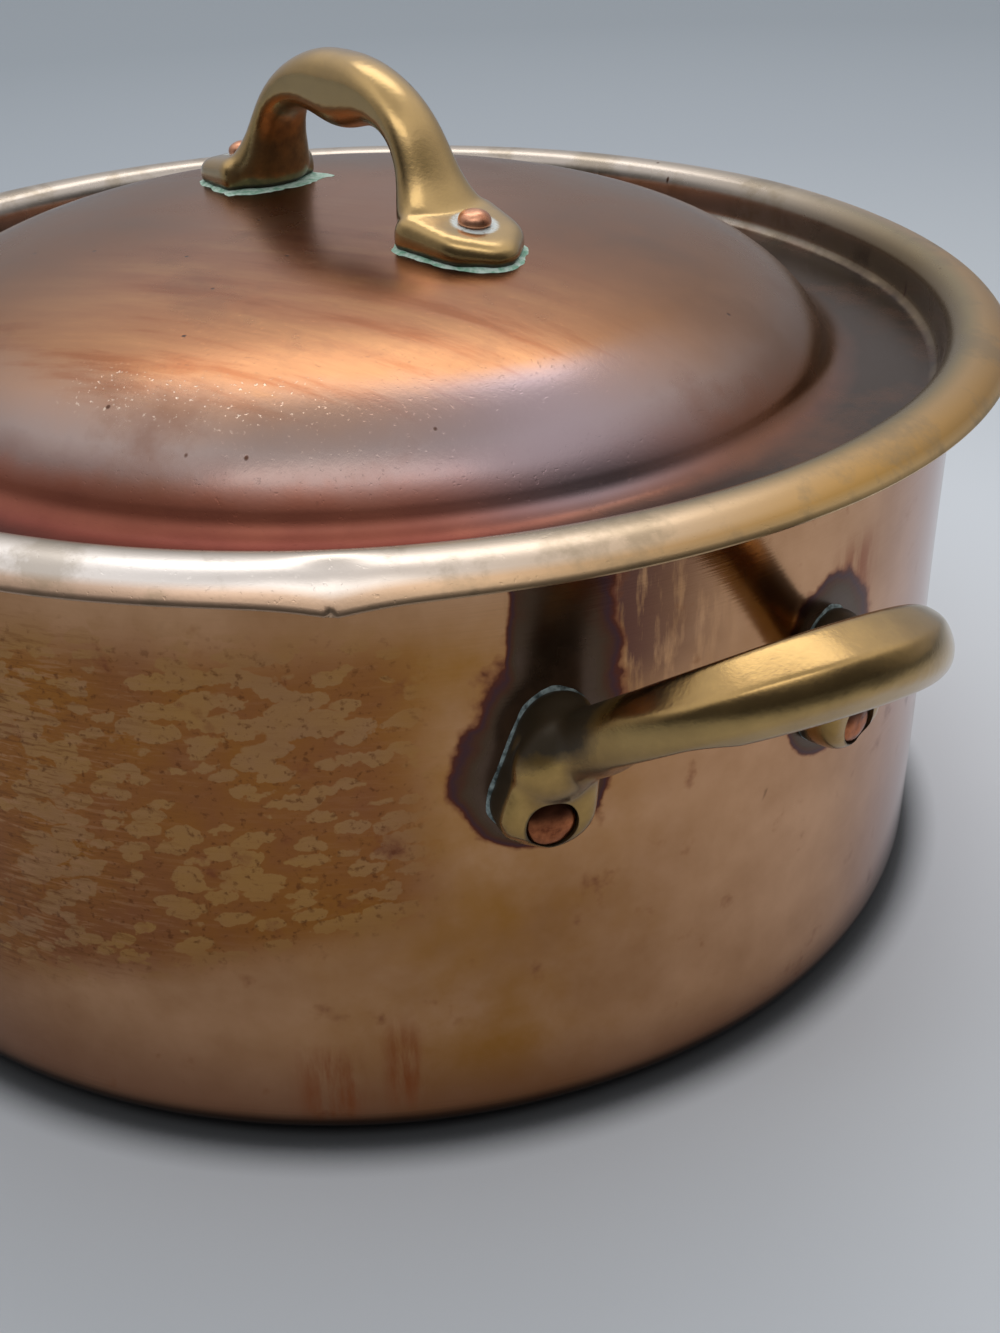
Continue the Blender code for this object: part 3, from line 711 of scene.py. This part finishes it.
def bore(mesh, cad_name):
    """Cuts a crisp round seat for a rivet's head, a drop deeper than the CAD's seat."""
    middle, axis, _, high = rivet_line(cad_name)
    floor_level = high - CAD_HEAD_HEIGHT - SEAT_GAP - BORE_DROP
    place = along_axis(middle, axis) @ Matrix.Translation((0, 0, floor_level + BORE_HEIGHT / 2))
    made = bmesh.new()
    bmesh.ops.create_cone(made, cap_ends=True, segments=56, radius1=BORE_RADIUS, radius2=BORE_RADIUS,
                          depth=BORE_HEIGHT, matrix=place)
    cutter = in_scene("bore", finished(made, bpy.data.meshes.new("bore")))
    draft = in_scene("bored", mesh)
    cut = draft.modifiers.new("cut", "BOOLEAN")
    cut.operation, cut.object, cut.solver = "DIFFERENCE", cutter, "EXACT"
    bored = applied(draft, "bored")
    bpy.data.objects.remove(cutter)
    return bored


# %% Side handles
SIDE_TILT, TILT_LEVEL = math.radians(2.4), 0.0812
ROOT, CROSSBAR, ROOT_ASIDE = (0.1165, 0.0755), (0.1508, 0.0996), 0.0273
PAD_ASIDE, ARCH_POWER = 0.0297, 0.851
PAD_TURN = math.asin(PAD_ASIDE / wall_radius(ROOT[1]))
PAD_SEAT = (0, 0.0670, 0.0056)
PAD_OUTLINE = circles((0, 0.0675, 0.0079), (0.0022, 0.0798, 0.0062))
PAD_LEVELS = ((-0.0010, 1), (0.0044, 1), (0.0058, 0.975), (0.0066, 0.92), (0.0070, 0.82))
MOUND_OUTLINE = circles((0.0006, 0.0768, 0.0068), (0.0022, 0.0802, 0.0062))
MOUND_LEVELS = ((0.0040, 1), (0.0066, 0.98), (0.0074, 0.88), (0.0083, 0.74), (0.0091, 0.58), (0.0097, 0.40),
                (0.0100, 0.2))
ARM_RADIUS, BAR_RADIUS, ROOT_RADIUS, ROOT_SWELL = 0.0053, 0.0065, 0.0064, 0.0140


def side_bar():
    """The middle line of a side handle's bar, and the directions out of and over the handle's plane."""
    turns = np.radians(np.linspace(0, 180, 361))
    out, aside = np.sin(turns) ** ARCH_POWER, powered(np.cos(turns), ARCH_POWER)
    middles = np.stack([ROOT[0] + (CROSSBAR[0] - ROOT[0]) * out, ROOT_ASIDE * aside,
                        ROOT[1] + (CROSSBAR[1] - ROOT[1]) * out], 1)
    along = unit(np.gradient(middles, axis=0))
    over = unit(np.array([ROOT[1] - CROSSBAR[1], 0, CROSSBAR[0] - ROOT[0]]))
    outward = unit(np.cross(over, along))
    return middles, outward, np.repeat(over[None], len(middles), 0), np.degrees(turns)


def on_pad(end):
    """Places a point inward, level and off the wall, at the pad on the +Y (1) or -Y (-1) side."""
    outward, inward = (Vector((math.cos(PAD_TURN), end * math.sin(PAD_TURN), 0)),
                       Vector((math.sin(PAD_TURN), -end * math.cos(PAD_TURN), 0)))

    def place(across, level, off):
        return outward * (wall_radius(level) + off) + inward * across + Vector((0, 0, level))

    return place


def side_handle(name, cad_name, left, tilt):
    level = Matrix.Translation((0, 0, TILT_LEVEL))
    placed = level @ Matrix.Rotation(-tilt, 4, "X") @ level.inverted()
    placed = Matrix.Rotation(math.pi if left else 0, 4, "Z") @ placed

    def bosses(made):
        for end in (1, -1):
            place = on_pad(end)
            boss(made, PAD_OUTLINE, lambda *where: placed @ place(*where), PAD_LEVELS)
            boss(made, MOUND_OUTLINE, lambda *where: placed @ place(*where), MOUND_LEVELS)
        fine_bar(made, placed, middles[12:-12:3], (outward * radius)[12:-12:3], (over * radius)[12:-12:3])

    middles, outward, over, turns = side_bar()
    along = np.concatenate([[0], np.cumsum(np.linalg.norm(np.diff(middles, axis=0), axis=1))])
    swell = (1 - np.minimum(along, along[-1] - along) / ROOT_SWELL).clip(0) ** 2
    radius = ARM_RADIUS + (BAR_RADIUS - ARM_RADIUS) * np.sin(np.radians(turns)) ** 2
    radius = (radius + (ROOT_RADIUS - ARM_RADIUS) * swell)[:, None]
    mesh = cast_skin(name, bosses, 32, cad_name)
    mesh.transform(placed.inverted())
    points = points_of(mesh)
    grip = band(turns, 34, 84, 132, 162)
    low = step(from_wall(points), 0.0120, 0.0090) * (0.0690 - points[:, 2]).clip(0)
    points[:, 2] += low * 0.2
    from_end = np.minimum(turns, 180 - turns)
    arm = band(from_end, 13, 22, 40, 62)
    for degrees, share, where in ((41, 0.81, grip), (-60, 0.96, grip), (-88, 0.80, arm)):
        slope = math.radians(degrees)
        points = press_flat(points, middles, outward * math.cos(slope) + over * math.sin(slope), share, where)
    move_points(mesh, points)
    soften_skin(mesh, 6)
    mesh.transform(placed)
    for end in ("back", "front"):
        mesh = bore(mesh, f"rivet_{name.split('_')[0]}_{end}")
    mesh.name = name
    smooth(mesh, 50)
    points = points_of(mesh) @ np.array(placed.to_3x3()) + np.array(placed.inverted().translation)
    aside, height, off = np.abs(points[:, 1]) - PAD_ASIDE, points[:, 2], from_wall(points)
    # painted shade: the pad's upper part and the arm's root darkened as their shaded side; near the wall partly
    # crud in the joint and partly shade; round each rivet seat, shade in the hollow
    sooty = step(aside * 0.5 + height, 0.0785, 0.0868) * step(points[:, 0], 0.1370, 0.1240)
    near = np.maximum(step(off, 0.0032, 0.0006), step(aside, 0.0040, 0.0060) * step(off, 0.0064, 0.0046))
    _, seat = nearest(points, [on_pad(end)(*PAD_SEAT) for end in (1, -1)])
    paint(mesh, "grime_and_shade", np.maximum.reduce([sooty * 0.95, near * 0.8, step(seat, 0.0052, 0.0042) * 0.75]))
    paint(mesh, "rubbed", 0.25 * step(points[:, 0], 0.128, 0.142))
    piece = new_piece(name, mesh, "pot", "brass", brass)
    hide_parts(cad_name)
    return piece


def from_wall(points):
    """How far each point stands off the outside of the pot's wall."""
    return reach_of(points) - wall_radius(np.clip(points[:, 2], POT_CORNER, POT_HEIGHT - RIM_BEND))


right_handle = side_handle("right_side_handle", "side_handle_right", False, SIDE_TILT)
left_handle = side_handle("left_side_handle", "side_handle_left", True, 0)
print("side handles", len(right_handle.data.vertices), "points each")

# %% Bridge handle of the lid
BRIDGE_SHIFT, BRIDGE_TURN, APEX = 0.0023, math.radians(8.7), 0.1329
# Half of the bar in millimetres, foot to top: under side (out, up), upper side (out, up) and half width.
BRIDGE_ROWS = ((28.0, -0.6, 32.6, 5.2, 9.6), (24.6, -0.6, 30.0, 8.6, 9.3), (22.6, -0.6, 28.3, 10.8, 8.1),
               (22.3, 5.0, 26.7, 13.9, 6.7), (22.3, 10.1, 24.8, 17.8, 6.1), (20.4, 14.5, 21.6, 22.2, 5.6),
               (16.4, 17.3, 16.6, 25.9, 5.4), (11.2, 18.1, 10.9, 28.3, 5.3), (6.9, 17.0, 6.9, 29.2, 5.3),
               (3.8, 15.7, 3.8, 29.5, 5.3), (0, 15.1, 0, 29.6, 5.3))
FOOT_OUTLINE = circles((0.0413, 0, 0.0058), (0.0385, 0.0036, 0.0056), (0.0385, -0.0036, 0.0056),
                       (0.0287, 0.0093, 0.0017), (0.0287, -0.0093, 0.0017))
FOOT_LEVELS = ((0.02, 1), (0.50, 1), (0.72, 0.98), (0.87, 0.93), (0.96, 0.85), (1.0, 0.74))


def on_dome(x, y, height):
    reach = math.hypot(x, y)
    slope = (dome_level(reach + 0.0001) - dome_level(reach)) / 0.0001
    away = Vector((-slope * x / reach, -slope * y / reach, 1)).normalized()
    return Vector((x, y, dome_level(reach))) + away * height


def bridge_handle(name, cad_name):
    placed = Matrix.Rotation(BRIDGE_TURN, 4, "Z") @ Matrix.Translation((BRIDGE_SHIFT, 0, 0))

    def feet(made):
        for end in (1, -1):
            def place(x, y, share):
                flat = placed @ Vector((end * x, y, 0))
                return on_dome(flat.x, flat.y, share * (0.0036 + 0.0026 * min(1, (0.047 - x) / 0.014)))
            boss(made, FOOT_OUTLINE, place, FOOT_LEVELS)
        fine_bar(made, placed, middles, [0, 0.001, 0] * rows[:, 4:], (upper - under) / 2)

    half = np.array(BRIDGE_ROWS)
    rows = np.concatenate([half, half[-2::-1] * [-1, 1, -1, 1, 1]])
    marked = np.linspace(0, len(rows) - 1, 241)
    rows = np.stack([np.interp(marked, range(len(rows)), column) for column in rows.T], 1)
    for _ in range(2):
        rows[11:-11] = np.stack([np.convolve(column, np.ones(23) / 23, "valid") for column in rows.T], 1)
    under, upper = (np.stack([rows[:, k], 0 * marked, rows[:, k + 1]], 1) * 0.001 + [0, 0, APEX]
                    for k in (0, 2))
    middles = (under + upper) / 2
    mesh = cast_skin(name, feet, 34)
    mesh.transform(placed.inverted())
    along = unit(np.gradient(middles, axis=0))
    aside = np.repeat(np.array([[0, 1.0, 0]]), len(middles), 0)
    outward = unit(np.cross(along, aside))
    outward *= np.sign((outward * (middles - [0, 0, APEX])).sum(1))[:, None]
    arm = step(np.abs(middles[:, 0]), 0.0280, 0.0235)
    points = points_of(mesh)
    for normals in (aside, -aside):
        points = press_flat(points, middles, normals, 0.95, arm)
    move_points(mesh, points)
    soften_skin(mesh, 3)
    facing, points = points_of(mesh, "normal"), points_of(mesh)
    # painted shade: the left leg's inner face, the bar's underside and the feet next to the dome darkened
    low = step(points[:, 2], APEX + 0.028, APEX + 0.012)
    sooty = step(facing[:, 0], 0.1, 0.8) * step(points[:, 0], -0.010, -0.018) * low * 0.45
    under = step(facing[:, 2], -0.2, -0.9) * step(points[:, 2], APEX + 0.006, APEX + 0.010) * 0.5
    mesh.transform(placed)
    points = points_of(mesh)
    near = step(from_dome(points), 0.0022, 0.0004)
    paint(mesh, "grime_and_shade", np.maximum.reduce([sooty, under, near * 0.85]))
    paint(mesh, "rubbed", 0.55 * step(points[:, 2], APEX - 0.002, APEX + 0.001))
    ring = np.zeros(len(points))
    for side in ("right", "left"):
        middle, axis, _, _ = rivet_line(f"rivet_lid_{side}")
        off = points - middle
        away = np.linalg.norm(off - np.outer(off @ axis, axis), axis=1)
        ring = np.maximum(ring, step(away, 0.0046, 0.0040) * step(off @ axis, -0.001, 0))
    paint(mesh, "chalk", ring)
    smooth(mesh, 60)
    piece = new_piece(name, mesh, "lid", "brass", brass)
    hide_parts(cad_name)
    return piece


def from_dome(points):
    """How far each point stands over the dome."""
    return points[:, 2] - dome_level(np.clip(reach_of(points), 0, DOME_RADIUS * 0.999))


bridge = bridge_handle("lid_bridge_handle", "lid_handle")
print("bridge handle", len(bridge.data.vertices), "points")

# %% [markdown]
# ## Rivets
# Each rivet is set from a copper pin: a flat head inside the sheet, a shank, and a head that the hammer rounds
# outside. The CAD solids give each one's place and direction. The turned shape here has the same lengths and
# a finer curve.

# %% Rivets
SHANK, FLAT_HEAD, FLAT_HEIGHT = 0.0024, 0.0042, 0.0012


def rivet(name, cad_name, body, head, height, drop, finish):
    """A rivet whose head has a radius and a height, and stands a drop lower than the CAD's."""
    middle, axis, low, high = rivet_line(cad_name)
    high -= drop
    radii = [(0, low), (FLAT_HEAD * 0.9, low), (FLAT_HEAD, low + 0.0003), (FLAT_HEAD, low + FLAT_HEIGHT),
             (SHANK, low + FLAT_HEIGHT), (SHANK, high - height), (head * 0.97, high - height)]
    for k in range(13):
        turn = math.radians(7.5 * k)
        radii.append((head * math.cos(turn) ** 0.8, high - height + height * (0.12 + 0.88 * math.sin(turn))))
    made = bmesh.new()
    ring = [made.verts.new((r, 0, z)) for r, z in radii]
    edges = [made.edges.new(pair) for pair in zip(ring, ring[1:])]
    bmesh.ops.spin(made, geom=ring + edges, cent=(0, 0, 0), axis=(0, 0, 1), angle=2 * math.pi, steps=48)
    bmesh.ops.remove_doubles(made, verts=made.verts[:], dist=1e-6)
    for vertex in made.verts:
        beat = noise.noise(vertex.co * 420 + Vector((len(name), 0, 0))) * 0.00018
        vertex.co += Vector((0, 0, beat)) * (vertex.co.z > high - height * 0.7)
    mesh = finished(made, bpy.data.meshes.new(name))
    mesh.transform(along_axis(middle, axis))
    smooth(mesh, 40)
    # painted shadow on the upper part of each pot rivet's head
    paint(mesh, "head_shadow", 0.95 * step(points_of(mesh)[:, 2] - middle[2], -0.0008, 0.0020) * (body == "pot"))
    piece = new_piece(name, mesh, body, "rivet_copper", finish)
    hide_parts(cad_name)


for side in ("right", "left"):
    for end in ("back", "front"):
        rivet(f"{side}_{end}_rivet", f"rivet_{side}_{end}", "pot", POT_HEAD, 0.0014, 0.0011, dull_rivet)
    rivet(f"lid_{side}_rivet", f"rivet_lid_{side}", "lid", LID_HEAD, 0.0024, 0.0006, bright_rivet)

# %% The sheet metal itself
DENT_AZIMUTH = -28.6
even = np.arange(0, 360, 1.0)
dented = np.unique(np.round(np.concatenate([even, np.arange(-7, 7.01, 0.2) + DENT_AZIMUTH + 360]), 3))
pot_mesh = swept("pot_skin", pot_sheet, pot_outside, even)
lid_mesh = swept("lid_skin", lid_sheet, lid_outside, dented)
move_points(pot_mesh, uneven(points_of(pot_mesh), 0.045, 0.00022, 3))


def dent(points):
    """The flange bent down and in over a thumb's width, with a small nick in its edge."""
    azimuth, reach = azimuth_of(points) - DENT_AZIMUTH, reach_of(points)
    edge = step(reach, 0.1255, 0.1298)
    sag = np.exp(-np.abs(azimuth / 3.4) ** 1.2) * edge
    pressed = bump(azimuth, 0, 2.6) * step(reach, 0.1215, 0.1262) * (1 - 0.6 * edge)
    nick = np.clip(1 - np.abs(azimuth + 0.2) / 0.3, 0, 1) * step(reach, 0.1293, 0.1298)
    outward = points * [1, 1, 0] / reach.clip(ON_AXIS)[:, None]
    inward, down = 0.0004 * pressed + 0.0006 * nick, 0.0016 * sag + 0.0008 * pressed - 0.0004 * nick
    return points - outward * inward[:, None] - [0, 0, 1] * down[:, None]


move_points(lid_mesh, dent(uneven(points_of(lid_mesh), 0.038, 0.00020, 8)))
pot_skin = new_piece("pot_skin", pot_mesh, "pot", "copper", pot_finish, tin)
lid_skin = new_piece("lid_skin", lid_mesh, "lid", "copper", lid_finish, tin)
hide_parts("pot_body")
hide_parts("lid_shell")
print("pot skin", len(pot_mesh.vertices), "points, lid skin", len(lid_mesh.vertices), "points")

# %% Zones of the patina
def touching(piece, distance_of, reach):
    """The piece's points that lie within a reach of a surface."""
    points = points_of(piece.data)
    return points[np.abs(distance_of(points)) < reach]


points = points_of(pot_mesh)
azimuth, level = azimuth_of(points), points[:, 2] * 1000
outer = step(np.abs(from_wall(points)), 0.0008, 0.0003)
pads = np.concatenate([touching(p, from_wall, 0.001) for p in (right_handle, left_handle)])
near_wall = np.flatnonzero(outer > 0)
halo = np.zeros(len(points))
below = 1 + 1.1 * step(level[near_wall], 72, 62) + 0.5 * step(np.abs(np.abs(azimuth[near_wall]) - 90), 76, 80)
halo[near_wall] = 1 - step(nearest(points[near_wall], pads)[1] * below, -0.001, 0.0105)
# soot and heat colour climb from the front pad to the lip, cut off sharply at their left edge; the column is
# also a painted dark reflection of the handle's arm and pad in the wall
around = (azimuth + 90) % 180 - 90
soot = band(around, -16.7, -16.2, -10.5, -6.5) * step(level, 74, 84) * (1 - 0.35 * step(level, 92, 104))
halo = np.maximum(halo, soot * 0.8)
paint(pot_mesh, "halo", halo * outer)
foot = 24 + (azimuth + 60).clip(0, 40) * 0.55
wiped = band(azimuth, -100, -80, -27, -20.5) * band(level, foot, foot + 10, 92, 106)
back = band(azimuth, 95, 110, 140, 165) * band(level, 30, 45, 80, 95)
paint(pot_mesh, "spotted", np.maximum(wiped, back * 0.8))
wrapped = np.stack([np.radians(azimuth) * 118, level, reach_of(points) * 1000 - 118], 1).astype(np.float32)
pot_mesh.attributes.new("wrapped", "FLOAT_VECTOR", "POINT").data.foreach_set("vector", wrapped.ravel())
paint(pot_mesh, "golden", bump(azimuth, -19, 14) * step(level, 108, 96) * 0.9)
# smoke streaks above the pads, partly painted reflection of the handle's arm
paint(pot_mesh, "smoke", band(around, -16.7, -16.2, -9, 5) * step(level, 78, 92) * 0.95)
paint(pot_mesh, "rinsed", 0.15 + 0.85 * step(azimuth, -38, -58))
paint(pot_mesh, "scoured", 0.3 + 0.7 * band(azimuth, -75, -50, 30, 50))
smears = [bump(azimuth, a, wide, 4) * bump(level, z, high, 4)
          for a, z, wide, high in ((-32, 13, 2.6, 8), (-26, 17, 1.5, 9), (17, 88, 3, 8))]
paint(pot_mesh, "stain", np.maximum.reduce(smears) * 0.8)
paint(pot_mesh, "low", step(-level, -26 + 0.25 * (azimuth + 30).clip(-30, 40), -4))
paint(pot_mesh, "mauve", band(azimuth, 15, 40, 60, 120))
print("halo points", int((halo > 0).sum()))

# %% Zones of the lid
points = points_of(lid_mesh)
azimuth, reach = azimuth_of(points), reach_of(points) * 1000
off_back, off_front = (np.abs((azimuth - middle + 180) % 360 - 180) for middle in (38, -38))
# painted highlight on the flange's curl, all round but near the back right
paint(lid_mesh, "pale", step(off_back, 25, 80))
paint(lid_mesh, "warm", step(off_front, 75, 30) * step(reach, 86, 76) * 0.9)
paint(lid_mesh, "brown", step(off_front, 28, 75) * band(reach, 15, 45, 96, 98) * 0.95)
# painted highlight over lilac tarnish on the dome's front shoulder
paint(lid_mesh, "lilac_and_highlight", 0.85 * bump(azimuth, -6, 14) * band(reach, 75, 80, 95, 98))
# painted shade and reflection on the front ledge and the dome's foot
paint(lid_mesh, "ledge_shade", step(np.abs(azimuth + 58), 58, 34) * band(reach, 91.5, 95, 112, 118) * 0.85)
paint(lid_mesh, "pitted", band(azimuth, -66, -56, -36, -24) * band(reach, 73, 77, 82, 86))

# %% [markdown]
# ## Verdigris
# Where brass, copper and damp meet, green salts grow along the joint. The crust is thin and ragged, thickest
# against the casting. Here it is a wedge that follows each contact outline: the points of the casting that lie
# within a millimetre of the sheet, wrapped in a hull, then a strip of uneven width laid outside it.

# %% Crust along a contact
# how far a crust stands over the sheet, runs under the casting and sinks into the sheet
CRUST_HEIGHT, CRUST_TUCK, CRUST_ROOT = 0.0003, 0.0009, 0.0001


def crust(name, contact, place, body, width, finish, heaped=None):
    """A ragged wedge round a contact outline given in sheet coordinates. place(u, v, h) is a point h above.
    Heaped tells from an outline's middle and directions which share of the width each point has."""
    hull = [contact[k] for k in geometry.convex_hull_2d([tuple(p) for p in contact])]
    loop = np.array(hull + hull[:1])
    lengths = np.concatenate([[0], np.cumsum(np.linalg.norm(np.diff(loop, axis=0), axis=1))])
    places = np.linspace(0, lengths[-1], 161)[:-1]
    outline = np.stack([np.interp(places, lengths, loop[:, k]) for k in (0, 1)], 1)
    tangent = np.roll(outline, -1, 0) - np.roll(outline, 1, 0)
    outward = unit(np.stack([tangent[:, 1], -tangent[:, 0]], 1))
    if ((outline - outline.mean(0)) * outward).sum() < 0:
        outward = -outward
    share = heaped(outward) if heaped else np.ones(len(outline))
    rings = []
    for k, (point, away) in enumerate(zip(outline, outward)):
        rough = noise.noise(Vector((*(point * 230), 3.0))) + 0.25 * noise.noise(Vector((*(point * 900), 7.0)))
        reach = width * share[k] * max(0.25, 0.85 + 0.8 * rough)
        thick = CRUST_HEIGHT * max(0.4, 1 + rough)
        section = [(-CRUST_TUCK, -CRUST_ROOT), (-CRUST_TUCK, thick), (0.0, thick),
                   (reach * 0.6, thick * 0.45), (reach, 0.00002), (reach, -CRUST_ROOT)]
        rings.append([place(*(point + away * out), height) for out, height in section])
    made = bmesh.new()
    rings = [[made.verts.new(p) for p in ring] for ring in rings]
    join_rings(made, rings + rings[:1])
    mesh = finished(made, bpy.data.meshes.new(name))
    smooth(mesh, 60)
    return new_piece(name, mesh, body, "brass", finish)


def on_wall(side):
    def place(along, level, height):
        turn = along / POT_RADIUS + (math.pi if side == "left" else 0)
        reach = wall_radius(level) + height
        return Vector((reach * math.cos(turn), reach * math.sin(turn), level))
    return place


for side, piece in (("right", right_handle), ("left", left_handle)):
    feet = touching(piece, from_wall, 0.0011)
    turned = -feet if side == "left" else feet
    along = np.arctan2(turned[:, 1], turned[:, 0]) * POT_RADIUS
    for end, chosen in (("back", along > 0), ("front", along < 0)):
        contact = np.stack([along[chosen], feet[chosen, 2]], 1)
        outer_side = 1 if end == "back" else -1
        crust(f"{side}_{end}_pad_crust", contact, on_wall(side), "pot", 0.0005, dark_crust,
              lambda away: 0.1 + 0.9 * step(away @ [outer_side * 0.85, 0.5], -0.1, 0.6))
feet = touching(bridge, from_dome, 0.0009)
for end, sign in (("right", 1), ("left", -1)):
    inner_side = np.array([-sign * math.cos(BRIDGE_TURN), -sign * math.sin(BRIDGE_TURN)])
    crust(f"lid_{end}_foot_crust", feet[feet[:, 0] * sign > 0][:, :2], on_dome, "lid", 0.0011, pale_crust,
          (lambda away: 0.9 + 2.2 * step(away @ inner_side, 0.3, 0.8)) if end == "left" else None)

# %% [markdown]
# ## Studio
# Polished metal shows its surroundings more than itself. Two long soft lamps hang overhead, the walls of the
# studio are dark near the horizon and lighter above, and the pale floor lights the pot from below.

# %% Floor
def floor_paper():
    """Matt paper, with a painted pool of light beside the pot that greys with distance, and painted shade past
    the near lamp.
    """
    material, tree = new_material("floor_paper")
    place = node(tree, "TexCoord", {}, out="Object")
    away = vectors("DISTANCE", place, (0.08, 0.12, 0), out="Value")
    # painted pool of light: the paper palest near the pot and greyer further off
    tint = ramp(away, ((0.0, "#E6EBEF"), (0.16, "#D6DCE1"), (0.30, "#C3CACF"), (0.62, "#AEB6BD"),
                       (1.0, "#9EA7AE")))
    # painted shade: the paper far out past the near lamp darkened, so that the metal reflects dark there
    beyond = vectors("DOT_PRODUCT", place, (0.985, 0.17, 0), out="Value")
    tint = laid(tint, "#4E5357", mapped(beyond, 0.30, 0.55, 0, 0.85))
    # little light finds its way into the gap under the pot's rounded corner
    gap = node(tree, "AmbientOcclusion", {"Distance": 0.010}, out="AO")
    tint = laid(tint, "#08080A", mapped(gap, 0.55, 0.97, 0.92, 0))
    shader = node(tree, "BsdfPrincipled", {"Base Color": tint, "Roughness": 0.8})
    node(tree, "OutputMaterial", {"Surface": shader})
    return material


FLOOR_LEVEL, FLOOR_RADIUS, LAMP_DISTANCE = -0.0002, 4.0, 1.3
made = bmesh.new()
bmesh.ops.create_circle(made, cap_ends=True, segments=96, radius=FLOOR_RADIUS)
floor_mesh = bpy.data.meshes.new("floor")
made.to_mesh(floor_mesh)
made.free()
floor_mesh.materials.append(floor_paper())
floor = in_scene("floor", floor_mesh)
floor.location.z = FLOOR_LEVEL

# %% World and lamps
world = bpy.data.worlds.new("studio")
world.use_nodes = True
world.node_tree.nodes.clear()
tree = world.node_tree
direction = node(tree, "TexCoord", {}, out="Generated")
height = node(tree, "SeparateXYZ", {"Vector": direction}, out="Z")
# grey levels by the sine of the elevation
backdrop = ramp(height, ((0.0, 0.34), (0.35, 0.48), (0.7, 0.95), (0.90, 1.0), (0.97, 0.70)))
room = ramp(height, ((0.0, 0.05), (0.45, 0.09), (0.65, 0.34), (0.78, 1.0), (0.90, 1.0), (0.97, 0.70)))
behind = vectors("DOT_PRODUCT", direction, (-0.90, 0.44, 0), out="Value")
shade = mix(mapped(behind, -0.45, 0.1), room, backdrop)
background = node(tree, "Background", {"Color": shade, "Strength": 1.0})
node(tree, "OutputWorld", {"Surface": background})
scene.world = world


def softbox(name, azimuth, elevation, size, watts):
    lamp = bpy.data.lights.new(name, "AREA")
    lamp.shape, lamp.size, lamp.size_y, lamp.energy = "ELLIPSE", size[0], size[1], watts
    hung = in_scene(name, lamp)
    turn, rise = math.radians(azimuth), math.radians(elevation)
    toward = Vector((math.cos(turn) * math.cos(rise), math.sin(turn) * math.cos(rise), math.sin(rise)))
    turned = toward.to_track_quat("Z", "Y").to_matrix().to_4x4()
    hung.matrix_world = Matrix.Translation(toward * LAMP_DISTANCE) @ turned
    return hung


lamps = [softbox("far_softbox", 150, 67, (1.10, 0.44), 2.3),
         softbox("near_softbox", -32, 63, (1.05, 0.34), 1.1)]
print("lamps", [(lamp.name, lamp.data.energy) for lamp in lamps])
